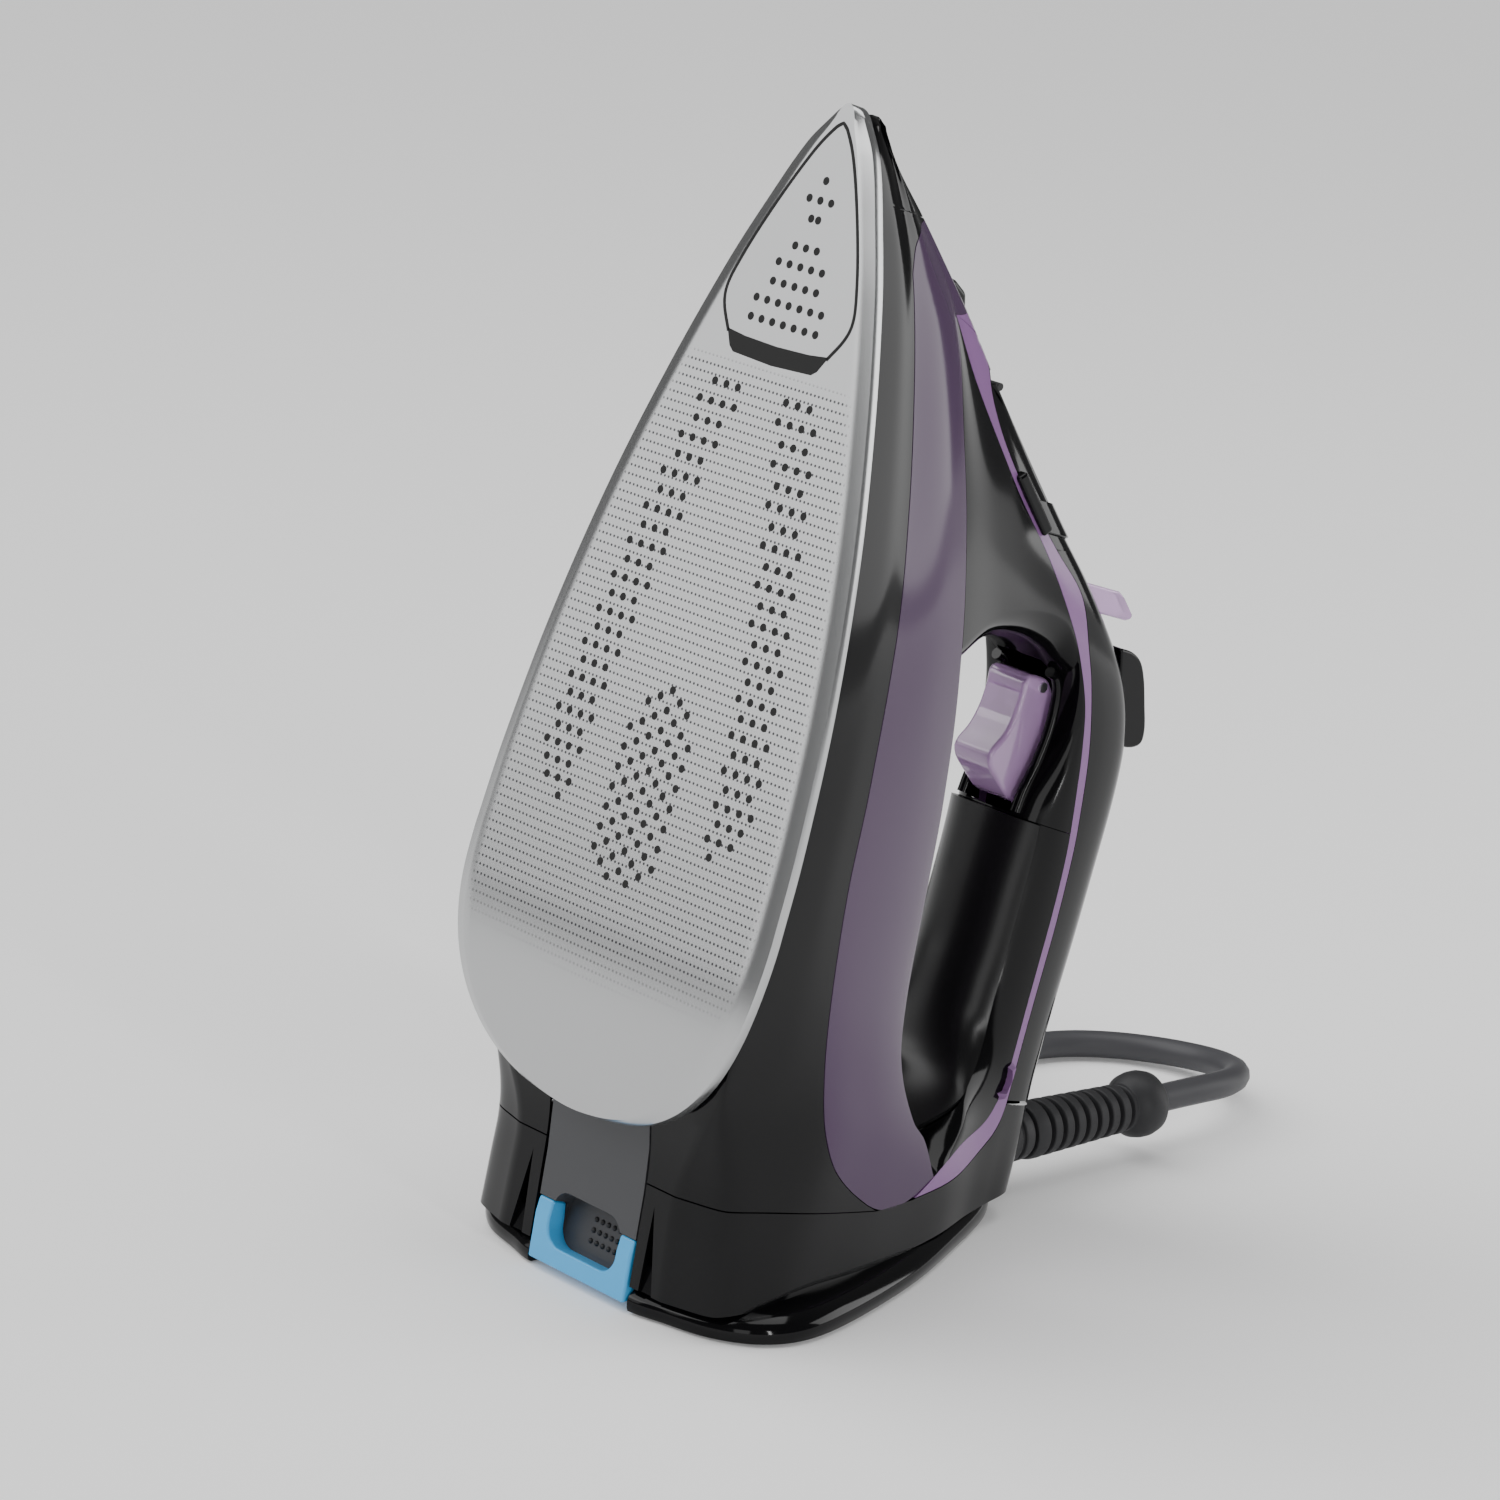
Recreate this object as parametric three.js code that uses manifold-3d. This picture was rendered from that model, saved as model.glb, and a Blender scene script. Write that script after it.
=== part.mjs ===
// Steam iron standing on its heel. Millimetres, +Z up, +X to the right, soleplate facing -Y.
//
// Most pieces are drawn in the iron's own frame: x across, y away from the soleplate's face and
// s backwards from the nose tip along the soleplate. The whole iron then leans back on its heel.
import * as THREE from 'three';
import { mergeVertices } from 'three/addons/utils/BufferGeometryUtils.js';
import Module from 'manifold-3d';

const wasm = await Module();
wasm.setup();

// ---- driving dimensions ------------------------------------------------------------------
const lean = THREE.MathUtils.degToRad(15);
const noseHeight = 331;            // nose tip to table, along the soleplate
const originShift = -123;          // puts the middle of the iron's depth at y = 0
const gap = 0.3;                   // clearance between touching pieces
const wall = 2.5;                  // shell thickness
const far = 400;                   // longer than anything that is cut

const plateThickness = 5;
const plateBevel = 1.8;
const plateHalfWidth = 58.7;
const plateWidestAt = 212;
const plateLength = 274;
const plateBendStart = 222;
const plateBendRadius = 165;

const cordDiameter = 8.5;
const coilTurnRadius = 48;
const coilBundle = 26;

// nose to widest station: s, half-width of the soleplate
const plateEdge = [[0, 0], [3, 5.4], [12, 12.3], [30, 20.7], [48, 28], [78, 37.8], [113, 47], [152, 54],
  [188, 57.7], [plateWidestAt, plateHalfWidth]];

// side view lines of the body: s, y
const topLine = [[0, 8], [2.5, 13], [12, 20], [22, 33], [34, 48], [45, 62], [58, 78], [80, 107], [93, 124],
  [103, 138], [118, 156], [130, 167], [143, 173.5], [157, 176], [180, 177], [215, 178], [340, 178]];
const housingLine = [[0, 9.5], [12, 15], [34, 20.5], [48, 22], [70, 24], [95, 26], [126, 27.5], [169, 28.5],
  [196, 30], [225, 36], [247, 45.5], [262, 54], [272, 65], [280, 84], [281.5, 95], [279, 106], [272, 118]];
const deckLine = [[36, 66], [44, 47], [70, 49.5], [95, 55.5], [126, 62.5], [150, 68], [169, 71], [196, 74.5],
  [225, 79], [240, 84], [256, 98], [262, 108], [272, 118]];
const bandInner = [[44, 47], [60, 61], [80, 84], [99, 108.5], [117, 127], [127, 134.5], [137, 140.5],
  [147, 144], [158, 147], [181, 152], [208, 154.3], [243, 155], [252, 152], [258, 146], [264, 132],
  [272, 118]];
const bandOuter = [[38, 62], [62, 71], [76.5, 84], [97, 113], [107.6, 129], [121, 136], [132, 141.5],
  [149, 148], [166, 152.2], [181, 155], [207, 157.3], [245, 158], [256, 156], [263, 150], [272, 134],
  [279, 106]];
const loopHole = [[137, 66], [153, 69.2], [170, 71.8], [205, 76.4], [232, 81.5], [246, 92], [253, 108],
  [252, 123], [244, 133], [215, 135.5], [180, 135], [166, 137], [152, 141], [141, 142], [132, 136],
  [127, 122], [126, 104], [129, 82]];
const deckCrown = 9;               // how far the deck bulges up under the hand
const deckFrontAt = 131;
const deckRearAt = 244;

// half-widths of the body at its levels: s, low edge y, low, housing line, deck line, deck y, waist, shoulder
const bodyStations = [
  { s: 1.5, lowY: 6, low: 1.6, band: 1.5, deck: 1.3, deckY: 10, waist: 1.2, shoulder: 1.1 },
  { s: 12, lowY: 6.2, low: 9.8, band: 7.6, deck: 6.6, deckY: 17, waist: 6, shoulder: 5.4 },
  { s: 34, lowY: 6.2, low: 19.6, band: 17.8, deck: 13, deckY: 37, waist: 11.5, shoulder: 10 },
  { s: 48, lowY: 6.2, low: 25.4, band: 23.5, deck: 18.5, deckY: 44, waist: 15, shoulder: 12.5 },
  { s: 70, lowY: 6.2, low: 32.5, band: 30.5, deck: 26, deckY: 48.5, waist: 20, shoulder: 14.5 },
  { s: 95, lowY: 6.2, low: 39.6, band: 37.4, deck: 32, deckY: 54.5, waist: 24, shoulder: 16 },
  { s: 126, lowY: 6.2, low: 46.8, band: 44.8, deck: 37, deckY: 61.5, waist: 26, shoulder: 17.5 },
  { s: 169, lowY: 6.2, low: 53.3, band: 51, deck: 40, deckY: 70, waist: 25, shoulder: 18.5 },
  { s: 196, lowY: 6.2, low: 55.4, band: 52.8, deck: 41, deckY: 73.5, waist: 25, shoulder: 18.5 },
  { s: 225, lowY: 6.3, low: 55.4, band: 53, deck: 41.5, deckY: 78, waist: 26, shoulder: 18.5 },
  { s: 247, lowY: 9, low: 50.5, band: 50.5, deck: 40.5, deckY: 88, waist: 28, shoulder: 19.5 },
  { s: 262, lowY: 15, low: 46.5, band: 49.5, deck: 38.5, deckY: 103, waist: 31, shoulder: 21.5 },
  { s: 280, lowY: 22, low: 46, band: 48.5, deck: 38.5, deckY: 108, waist: 33, shoulder: 23 },
  { s: 300, lowY: 26, low: 47, band: 49.5, deck: 39.5, deckY: 110, waist: 34, shoulder: 24 },
  { s: 340, lowY: 33, low: 49, band: 51.5, deck: 41, deckY: 112, waist: 35, shoulder: 25 },
];

// ---- small helpers ------------------------------------------------------------------------
// smooth value of a table of [s, value] rows
function along(rows, s) {
  const last = rows.length - 1;
  if (s <= rows[0][0]) return rows[0][1];
  if (s >= rows[last][0]) return rows[last][1];
  let i = 0;
  while (s > rows[i + 1][0]) i += 1;
  const slope = (a, b) => (rows[b][1] - rows[a][1]) / (rows[b][0] - rows[a][0]);
  const width = rows[i + 1][0] - rows[i][0];
  const startSlope = slope(Math.max(i - 1, 0), i + 1);
  const endSlope = slope(i, Math.min(i + 2, last));
  const t = (s - rows[i][0]) / width;
  const h = 1 - t;
  return h * h * (1 + 2 * t) * rows[i][1] + t * t * (3 - 2 * t) * rows[i + 1][1]
    + width * (t * h * h * startSlope - t * t * h * endSlope);
}

const station = (key, s) => along(bodyStations.map((row) => [row.s, row[key]]), s);

function plateHalf(s) {
  if (s <= plateWidestAt) return along(plateEdge, s);
  const t = Math.min((s - plateWidestAt) / (plateLength - plateWidestAt), 1);
  return plateHalfWidth * (1 - t ** 2.45) ** (1 / 2.45);
}

const plateBend = (s) => (s > plateBendStart ? (s - plateBendStart) ** 2 / (2 * plateBendRadius) : 0);

// a closed solid through rings of equal, even point count; every ring is a loop of [x, y, z]. Each end
// is closed by a ladder between the two halves of its ring.
function loft(rings) {
  const count = rings[0].length;
  const positions = rings.flat(2);
  const index = [];
  for (let r = 0; r < rings.length - 1; r += 1) {
    for (let i = 0; i < count; i += 1) {
      const a = r * count + i;
      const b = r * count + ((i + 1) % count);
      index.push(a, b, b + count, a, b + count, a + count);
    }
  }
  for (const [start, forward] of [[0, false], [(rings.length - 1) * count, true]]) {
    for (let i = 0; i < count / 2 - 1; i += 1) {
      const across = [i, i + 1, count - 2 - i, count - 1 - i].map((corner) => start + corner);
      const [p, q, r, t] = forward ? across : across.reverse();
      index.push(p, q, r, p, r, t);
    }
  }
  const geometry = new THREE.BufferGeometry();
  geometry.setAttribute('position', new THREE.Float32BufferAttribute(positions, 3));
  geometry.setIndex(index);
  return outward(geometry);
}

// turns the triangles over when the faces point inwards
function outward(geometry) {
  const p = geometry.getAttribute('position');
  const index = geometry.getIndex().array;
  const [a, b, c] = [new THREE.Vector3(), new THREE.Vector3(), new THREE.Vector3()];
  let volume = 0;
  for (let i = 0; i < index.length; i += 3) {
    a.fromBufferAttribute(p, index[i]);
    b.fromBufferAttribute(p, index[i + 1]);
    c.fromBufferAttribute(p, index[i + 2]);
    volume += a.dot(b.cross(c));
  }
  if (volume < 0) geometry.setIndex(Array.from(index).reverse());
  return geometry;
}

function toSolid(geometry) {
  const bare = geometry.clone();
  bare.deleteAttribute('normal');
  bare.deleteAttribute('uv');
  const merged = mergeVertices(bare, 1e-4);
  return new wasm.Manifold(new wasm.Mesh({
    numProp: 3,
    vertProperties: new Float32Array(merged.getAttribute('position').array),
    triVerts: new Uint32Array(merged.getIndex().array),
  }));
}

function toGeometry(solid) {
  const mesh = solid.getMesh();
  const geometry = new THREE.BufferGeometry();
  geometry.setAttribute('position', new THREE.Float32BufferAttribute(mesh.vertProperties, 3));
  geometry.setIndex(Array.from(mesh.triVerts));
  return geometry;
}

// a side view outline of [s, y] points pushed across from x = left to x = right
function prism(outline, left = -far, right = far) {
  const points = outline.map(([s, y]) => new THREE.Vector2(y, noseHeight - s));
  const shape = new THREE.Shape(points.filter((p, i) => p.distanceTo(points.at(i - 1)) > 0.05));
  const geometry = new THREE.ExtrudeGeometry(shape, { depth: right - left, bevelEnabled: false });
  const frame = new THREE.Matrix4().makeBasis(
    new THREE.Vector3(0, 1, 0), new THREE.Vector3(0, 0, 1), new THREE.Vector3(1, 0, 0));
  return toSolid(geometry.applyMatrix4(frame).translate(left, 0, 0));
}

// the band of material removed where two pieces part: a strip of width gap along a line
function seam(line, thickness = gap) {
  const points = line.map(([s, y]) => new THREE.Vector2(s, y));
  const sides = [[], []];
  points.forEach((p, i) => {
    const ahead = points[Math.min(i + 1, points.length - 1)];
    const behind = points[Math.max(i - 1, 0)];
    const normal = ahead.clone().sub(behind).normalize().rotateAround(new THREE.Vector2(), Math.PI / 2);
    sides[0].push([p.x + normal.x * thickness / 2, p.y + normal.y * thickness / 2]);
    sides[1].push([p.x - normal.x * thickness / 2, p.y - normal.y * thickness / 2]);
  });
  return prism([...sides[0], ...sides[1].reverse()]);
}

// a closed side view outline grown all round by reach
function seamOutline(outline, reach) {
  const middle = outline.reduce(([s, y], p) => [s + p[0] / outline.length, y + p[1] / outline.length],
    [0, 0]);
  return outline.map(([s, y]) => {
    const length = Math.hypot(s - middle[0], y - middle[1]);
    return [s + (s - middle[0]) / length * reach, y + (y - middle[1]) / length * reach];
  });
}

// a round bar across the iron through a side view point
function prismCylinder([s, y], radius, length) {
  return toSolid(new THREE.CylinderGeometry(radius, radius, length, 20).rotateZ(Math.PI / 2)
    .translate(0, y, noseHeight - s));
}

const fine = (line, step) => {
  const curve = new THREE.CatmullRomCurve3(line.map(([s, y]) => new THREE.Vector3(s, y, 0)), false,
    'centripetal');
  const count = Math.max(2, Math.round(curve.getLength() / step));
  return curve.getSpacedPoints(count).map((p) => [p.x, p.y]);
};

const at = (x, s, y) => new THREE.Vector3(x, y, noseHeight - s);

// geometry whose own axis is +Z, turned so that the axis points along direction, then moved
function aim(geometry, direction, place) {
  const turn = new THREE.Quaternion().setFromUnitVectors(new THREE.Vector3(0, 0, 1),
    direction.clone().normalize());
  return geometry.applyQuaternion(turn).translate(place.x, place.y, place.z);
}

const awayFromPlate = new THREE.Vector3(0, 1, 0);
const across = new THREE.Vector3(1, 0, 0);

// a turned piece from a profile of [radius, height] points, its foot at place
function turned(profile, direction, place, segments = 28) {
  const lathe = new THREE.LatheGeometry(profile.map(([r, h]) => new THREE.Vector2(r, h)), segments);
  const solid = toSolid(lathe.rotateX(Math.PI / 2));
  return aim(outward(toGeometry(solid)), direction, place);
}

const disc = (radius, height) => [[0, 0], [radius, 0], [radius, height], [0, height]];

function plainBox(width, depth, height, place) {
  return new THREE.BoxGeometry(width, depth, height).translate(place.x, place.y, place.z);
}

// ---- the body, cut into its shells -----------------------------------------------------------
const stationsTo = (end) => {
  const list = [1.5, 4, 8, 12, 18, 26, 34, 41, 48, 58, 70, 82, 95, 110, 126, 140, 155, 169, 182, 196, 210,
    225, 236,
    247, 255, 262, 271, 280, 290, 300, 320, 340];
  return list.filter((s) => s <= end);
};

// one ring of the body at station s, inset all round; the low edge can be pushed down to open a hollow
function bodyRing(s, inset, openLow) {
  const top = along(topLine, s) - inset;
  const lowY = station('lowY', s) + (openLow ? -8 : inset);
  const bandY = Math.min(along(housingLine.slice(0, 12), s), 60);
  const deckY = station('deckY', s);
  const rise = top + inset - deckY;
  const heelRound = THREE.MathUtils.smoothstep(s, 250, 292);
  const levels = [
    [lowY, station('low', s) - 0.4 - heelRound * 15],
    [lowY + 0.5 + heelRound * 5, station('low', s)],
    [(lowY + bandY) / 2, (station('low', s) + station('band', s)) / 2 + 0.6],
    [bandY, station('band', s)],
    [(bandY + deckY) / 2, (station('band', s) + station('deck', s)) / 2 + 1],
    [deckY, station('deck', s)],
    [deckY + rise * 0.3, station('waist', s)],
    [deckY + rise * 0.55, (station('waist', s) * 0.35 + station('shoulder', s) * 0.65)],
    [top - Math.min(20, rise * 0.32), station('shoulder', s)],
    [top - Math.min(8, rise * 0.14), station('shoulder', s) * 0.84],
    [top - Math.min(2, rise * 0.04), station('shoulder', s) * 0.52],
    [top, station('shoulder', s) * 0.2],
  ];
  const half = ([y, h]) => [Math.max(h - inset, 0.3), y, noseHeight - s];
  const right = levels.map(half);
  const left = right.map(([x, y, z]) => [-x, y, z]).reverse();
  return [...right, ...left];
}

const bodySolid = (inset, openLow, from, to) => toSolid(loft(
  [from, ...stationsTo(to).filter((s) => s > from && s < to), to].map((s) => bodyRing(s, inset, openLow))));

// finger opening under the handle, rounded where the hand touches it
function loopSolid(grow = 0) {
  const line = new THREE.CatmullRomCurve3(loopHole.map(([s, y]) => new THREE.Vector3(s, y, 0)), true,
    'centripetal');
  const points = line.getSpacedPoints(36).slice(0, 36);
  const middle = points.reduce((sum, p) => sum.add(p), new THREE.Vector3()).divideScalar(points.length);
  const ring = (x, offset) => points.map((p, i) => {
    const ahead = points[(i + 1) % points.length];
    const behind = points[(i + points.length - 1) % points.length];
    const normal = new THREE.Vector2(ahead.y - behind.y, behind.x - ahead.x).normalize();
    if (normal.x * (p.x - middle.x) + normal.y * (p.y - middle.y) < 0) normal.negate();
    const handSide = THREE.MathUtils.smoothstep(p.y, 95, 112);
    const reach = grow + offset * handSide;
    const crown = deckCrown * Math.max(0, 1 - (x / 42) ** 2) * (1 - THREE.MathUtils.smoothstep(p.y, 84, 108));
    return [x, p.y + normal.y * reach + crown, noseHeight - (p.x + normal.x * reach)];
  });
  const flare = [[-60, 12], [-42, 12], [-30, 12], [-19, 12], [-15, 4.5], [-9, 1], [0, 0], [9, 1], [15, 4.5],
    [19, 12], [30, 12], [42, 12], [60, 12]];
  return toSolid(loft(flare.map(([x, offset]) => ring(x, offset))));
}

// everything below a level plane that is height above the table
function belowTable(height) {
  const slab = new THREE.BoxGeometry(far, far, far).translate(0, 0, -far / 2 + height);
  return toSolid(slab.rotateX(lean));
}

const rimHeight = 9;
const drawerFloor = 3;
const loop = loopSolid();
const openBody = bodySolid(0, false, 1.5, 340).subtract(loop).subtract(belowTable(rimHeight + gap));

// the drawer slides out of the heel between two walls
const drawerHalf = 19.5;
const drawerBay = prism([[277, 0], [340, 0], [340, 66], [277, 66]], -drawerHalf - gap * 2,
  drawerHalf + gap * 2);

const heelSeamAt = 287;
const heelSeam = [[heelSeamAt, 0], [heelSeamAt, 62], [281.6, 90]];
const noseCap = [[-5, 45], [22, 45], [22, 33], [25, 27.5], [30, 23.3]];
const housingSeam = [...noseCap, ...fine(housingLine, 9).filter(([s]) => s > 34)];
const deckSeam = fine(deckLine, 9);
const innerSeam = fine(bandInner, 7);
const outerSeam = fine(bandOuter, 7);
const backSeamAt = 252;
const backSeam = [[backSeamAt, 154], [backSeamAt, 190]];
const gripSeamAt = 172;
const gripSeam = [[gripSeamAt, 120], [gripSeamAt, 150.5]];
const elbow = [[97, 112], [93, 140]];
const noseTopSeam = [[30, 70], [38, 61.8], [44, 47]];
const deckFrontSeam = [[deckFrontAt, 58], [deckFrontAt, 105]];
const deckRearSeam = [[deckRearAt, 80], [deckRearAt, 112]];

// pockets and channels
const channelHalf = 9;
const channel = prism([[124, 141], [140, 150], [160, 157], [258, 161], [258, 170], [160, 168], [143, 160],
  [124, 150]], -channelHalf, channelHalf);
const triggerHalf = 7.5;
const triggerPocket = prism([[127, 118], [176, 118], [176, 158], [150, 158], [127, 141]],
  -triggerHalf - 0.8, triggerHalf + 0.8);
const leverSlot = prism([[101, 118], [114, 118], [114, 175], [101, 175]], -9, 9);
const buttonShaft = prism([[126, 141], [138, 141], [138, 185], [126, 185]], -6.5, 6.5);
const buttonSeat = prism([[118.2, 150], [147.5, 161], [147.5, 200], [118.2, 200]], -11.5, 11.5);
const inletThroat = prism([[68, 40], [90, 40], [90, 125], [68, 125]], -7, 7);
const doorLine = [[56.5, 73], [60.5, 75], [82, 103.5], [96, 122.5], [94, 128]];
const doorHalf = 11;
const doorSeat = prism([...doorLine, [60, 160], [30, 100]], -doorHalf - gap, doorHalf + gap);
const tabOutline = [[80.5, 99], [95, 117.5], [91, 121.5], [77, 103.5]];
const tabOut = 14.5;
const doorHinge = [58.8, 76.8];

const seams = [heelSeam, housingSeam, deckSeam, innerSeam, outerSeam, backSeam, gripSeam, elbow, noseTopSeam,
  deckFrontSeam, deckRearSeam];
let shellStock = openBody.subtract(drawerBay);
for (const line of seams) shellStock = shellStock.subtract(seam(line));

const tankHollow = bodySolid(wall, true, 14, 276).intersect(prism([[14, 0], [14, 60], ...fine(deckLine, 9)
  .filter(([s]) => s > 50 && s < 258).map(([s, y]) => [s, y - wall]), [268, 100], [276, 92], [276, 0]]));
const housingHollow = bodySolid(wall, true, 12, 250).add(bodySolid(wall, false, 249, 330));
const noseOpening = prism([[14, 0], [20, 12], [34, 14], [34, 30], [14, 24]], -6, 6);

const region = (outline) => shellStock.intersect(prism(outline));
const lowerRegion = [[-5, -5], ...housingSeam.filter(([, y]) => y < 88), [281.6, 90], [heelSeamAt, 62],
  [heelSeamAt, -5]];
const tankRegion = [...housingSeam, ...deckSeam.slice().reverse(), [30, 75], [-5, 75]];
const bandRegion = [...innerSeam, ...outerSeam.slice().reverse()];
const frontRegion = [...deckSeam.filter(([s]) => s >= 44 && s <= deckFrontAt), [deckFrontAt, 104],
  [gripSeamAt, 104],
  [gripSeamAt, 150.2], ...innerSeam.filter(([s]) => s < gripSeamAt).reverse()];
const deckRegion = [...deckSeam.filter(([s]) => s >= deckFrontAt && s <= deckRearAt), [deckRearAt, 110],
  [deckFrontAt, 100]];
const gripRegion = [[gripSeamAt, 110], [deckRearAt, 110], ...deckSeam.filter(([s]) => s > deckRearAt),
  ...innerSeam.filter(([s]) => s > gripSeamAt).reverse(), [gripSeamAt, 150.2]];
const coverRegion = [...outerSeam.filter(([s]) => s <= 97), [97, 112.5], [93, 140], [60, 140], [20, 80]];
const spineRegion = [[97, 112.5], ...outerSeam.filter(([s, y]) => s > 97 && s < backSeamAt && y > 112.5),
  [backSeamAt, 143], [backSeamAt, 200], [93, 200], [93, 140]];
const heelRegion = [[heelSeamAt, -5], [heelSeamAt, 62], [281.6, 90],
  ...outerSeam.filter(([s]) => s > backSeamAt).reverse(), [backSeamAt, 157], [backSeamAt, 200], [345, 200],
  [345, -5]];

const biggest = (solid) => solid.decompose().reduce((a, b) => (a.volume() > b.volume() ? a : b));

// ---- the assembly -----------------------------------------------------------------------------
const object = new THREE.Group();
const iron = new THREE.Group();
iron.rotation.x = -lean;
iron.position.y = originShift;
object.add(iron);

const finish = (color, roughness, metalness = 0) => new THREE.MeshStandardMaterial({ color, roughness,
  metalness });
const looks = {
  metal: finish(0xc9cbcc, 0.28, 0.9),
  castMetal: finish(0x9a9b9c, 0.5, 0.8),
  black: finish(0x141416, 0.18),
  matt: finish(0x1d1d1f, 0.6),
  purple: finish(0x5d4763, 0.25),
  lilac: finish(0xb595c4, 0.2),
  blue: finish(0x63b6e4, 0.4),
  grey: finish(0x55565a, 0.4),
  steel: finish(0xb5b7ba, 0.3, 0.9),
  brass: finish(0xb08d4a, 0.35, 0.9),
  rubber: finish(0x242426, 0.8),
  ceramic: finish(0xe4e0d6, 0.7),
};

function put(name, shape, material, parent = iron) {
  const geometry = shape.isBufferGeometry ? shape : toGeometry(shape);
  geometry.computeVertexNormals();
  const mesh = new THREE.Mesh(geometry, material);
  mesh.name = name;
  parent.add(mesh);
}

// soleplate: flat, then rolled up at the rear, with a bevelled edge
function plateRing(s, inset, low, high, bevel) {
  const half = Math.max(plateHalf(s) - inset, 0.4);
  const chamfer = Math.min(bevel, half * 0.4);
  const y = plateBend(s);
  return [[half - chamfer, y + low], [half, y + low + chamfer], [half, y + high], [-half, y + high],
    [-half, y + low + chamfer], [chamfer - half, y + low]].map(([x, height]) => [x, height, noseHeight - s]);
}

const plateStations = [0.3, 1.5, 3.5, 7, 12, 20, 30, 42, 58, 78, 100, 126, 152, 180, 200, plateWidestAt,
  222, 232,
  241, 249, 256, 262, 267, 270.5, 272.8, 273.8];

function plateLayer(inset, low, high, from, to, bevel = 0.3) {
  const list = [from, ...plateStations.filter((s) => s > from && s < to), to];
  return toSolid(loft(list.map((s) => plateRing(s, inset, low, high, bevel))));
}

put('soleplate', plateLayer(0, 0, plateThickness, 0.3, 273.8, plateBevel), looks.metal);
const skirtBand = plateLayer(11, plateThickness, 9, 26, 236).translate(0, -1, 0)
  .add(plateLayer(11, plateThickness, 12, 26, 236));
put('skirt_seal', plateLayer(5.5, plateThickness + gap, 7.9, 12, 262).subtract(skirtBand)
  .subtract(bodySolid(-gap, false, 1.5, 340)), looks.matt);

// steam chamber and its heater, between the soleplate and the tank
const chamberTop = 15;
const coverTop = 16.6;
put('steam_chamber', plateLayer(13, plateThickness + gap, chamberTop, 34, 216), looks.castMetal);
put('chamber_cover', plateLayer(13, chamberTop + gap, coverTop, 34, 216), looks.steel);

const heaterPath = new THREE.CatmullRomCurve3([at(-33, 212, 20.3), at(-33, 175, 20.3), at(-24, 120, 20.3),
  at(-10, 74, 20.3), at(0, 62, 20.3), at(10, 74, 20.3), at(24, 120, 20.3), at(33, 175, 20.3),
    at(33, 212, 20.3)]);
const roundSection = (radius, sides) => new THREE.Shape(Array.from({ length: sides }, (_, i) => {
  const turn = (i / sides) * Math.PI * 2;
  return new THREE.Vector2(Math.cos(turn) * radius, Math.sin(turn) * radius);
}));
const pipe = (path, diameter, steps, sides = 8) => new THREE.ExtrudeGeometry(roundSection(diameter / 2,
  sides),
  { steps, extrudePath: path, bevelEnabled: false });
put('heating_element', pipe(heaterPath, 6.6, 40), looks.steel);
put('thermostat', turned([[0, 0], [8, 0], [8, 4], [5.5, 4], [5.5, 7.5], [0, 7.5]], awayFromPlate,
  at(0, 178, coverTop + gap), 20), looks.steel);
put('thermal_fuse', aim(new THREE.CylinderGeometry(2.4, 2.4, 18, 14).rotateX(Math.PI / 2), across,
  at(0, 150, coverTop + 2.8)), looks.ceramic);
put('drip_valve', turned([[0, 0], [4.5, 0], [4.5, 4], [2.6, 6], [2.6, 10.5], [0, 10.5]], awayFromPlate,
  at(0, 108, coverTop + gap), 18), looks.brass);

// shells
put('lower_housing', biggest(region(lowerRegion).subtract(housingHollow)), looks.black);
put('water_tank', biggest(region(tankRegion).subtract(tankHollow).subtract(noseOpening)
  .subtract(inletThroat)), looks.purple);
const floorOutline = [[20, 18.5], [34, 23.6], [70, 27], [126, 30.4], [196, 33], [220, 37], [250, 49],
  [250, 50.6], [220, 38.6], [196, 34.6], [126, 32], [70, 28.6], [34, 25.2], [20, 20.1]];
put('tank_floor', bodySolid(wall + 0.5, true, 14, 276).intersect(prism(floorOutline)), looks.purple);
put('deck_cover', biggest(region(deckRegion)), looks.purple);
put('front_shell', biggest(region(frontRegion).subtract(triggerPocket).subtract(channel).subtract(inletThroat)
  .subtract(leverSlot).subtract(buttonShaft)), looks.black);
put('handle_grip', biggest(region(gripRegion).subtract(triggerPocket).subtract(channel)), looks.black);
put('handle_band', biggest(region(bandRegion).subtract(triggerPocket).subtract(channel).subtract(inletThroat)
  .subtract(leverSlot).subtract(buttonShaft)), looks.purple);
put('inlet_cover', biggest(region(coverRegion).subtract(doorSeat).subtract(inletThroat)
  .subtract(prismCylinder(doorHinge, 4.5, doorHalf * 2 + gap * 2))
  .subtract(prism(seamOutline(tabOutline, 1), doorHalf - 3, tabOut + 5))), looks.grey);
put('handle_spine', biggest(region(spineRegion).subtract(leverSlot)
  .subtract(triggerPocket).subtract(channel).subtract(buttonShaft)
  .subtract(buttonSeat)), looks.black);

// ---- water side --------------------------------------------------------------------------------
const bodyClear = bodySolid(-gap, false, 1.5, 340);
const neckOuter = prism([[68.4, 56], [89.6, 56], [89.6, 84], [68.4, 76]], -6.6, 6.6);
const neckInner = prism([[70, 50], [88, 50], [88, 95], [70, 95]], -5, 5);
put('inlet_neck', neckOuter.subtract(neckInner), looks.matt);

const doorPlate = bodySolid(0, false, 1.5, 94.5).intersect(prism([...doorLine, [60, 160], [30, 100]],
  -doorHalf + 0.2, doorHalf - 0.2)).subtract(seam([...doorLine, [60, 162]], gap * 2.4));
const doorTab = prism(tabOutline, doorHalf - 2, tabOut);
const hingeBore = prismCylinder(doorHinge, 1.5, 30);
put('inlet_door', biggest(doorPlate.add(doorTab).subtract(hingeBore)), looks.black);
put('inlet_door_pin', toGeometry(prismCylinder(doorHinge, 1.1, doorHalf * 2 - 1)), looks.steel);

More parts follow.
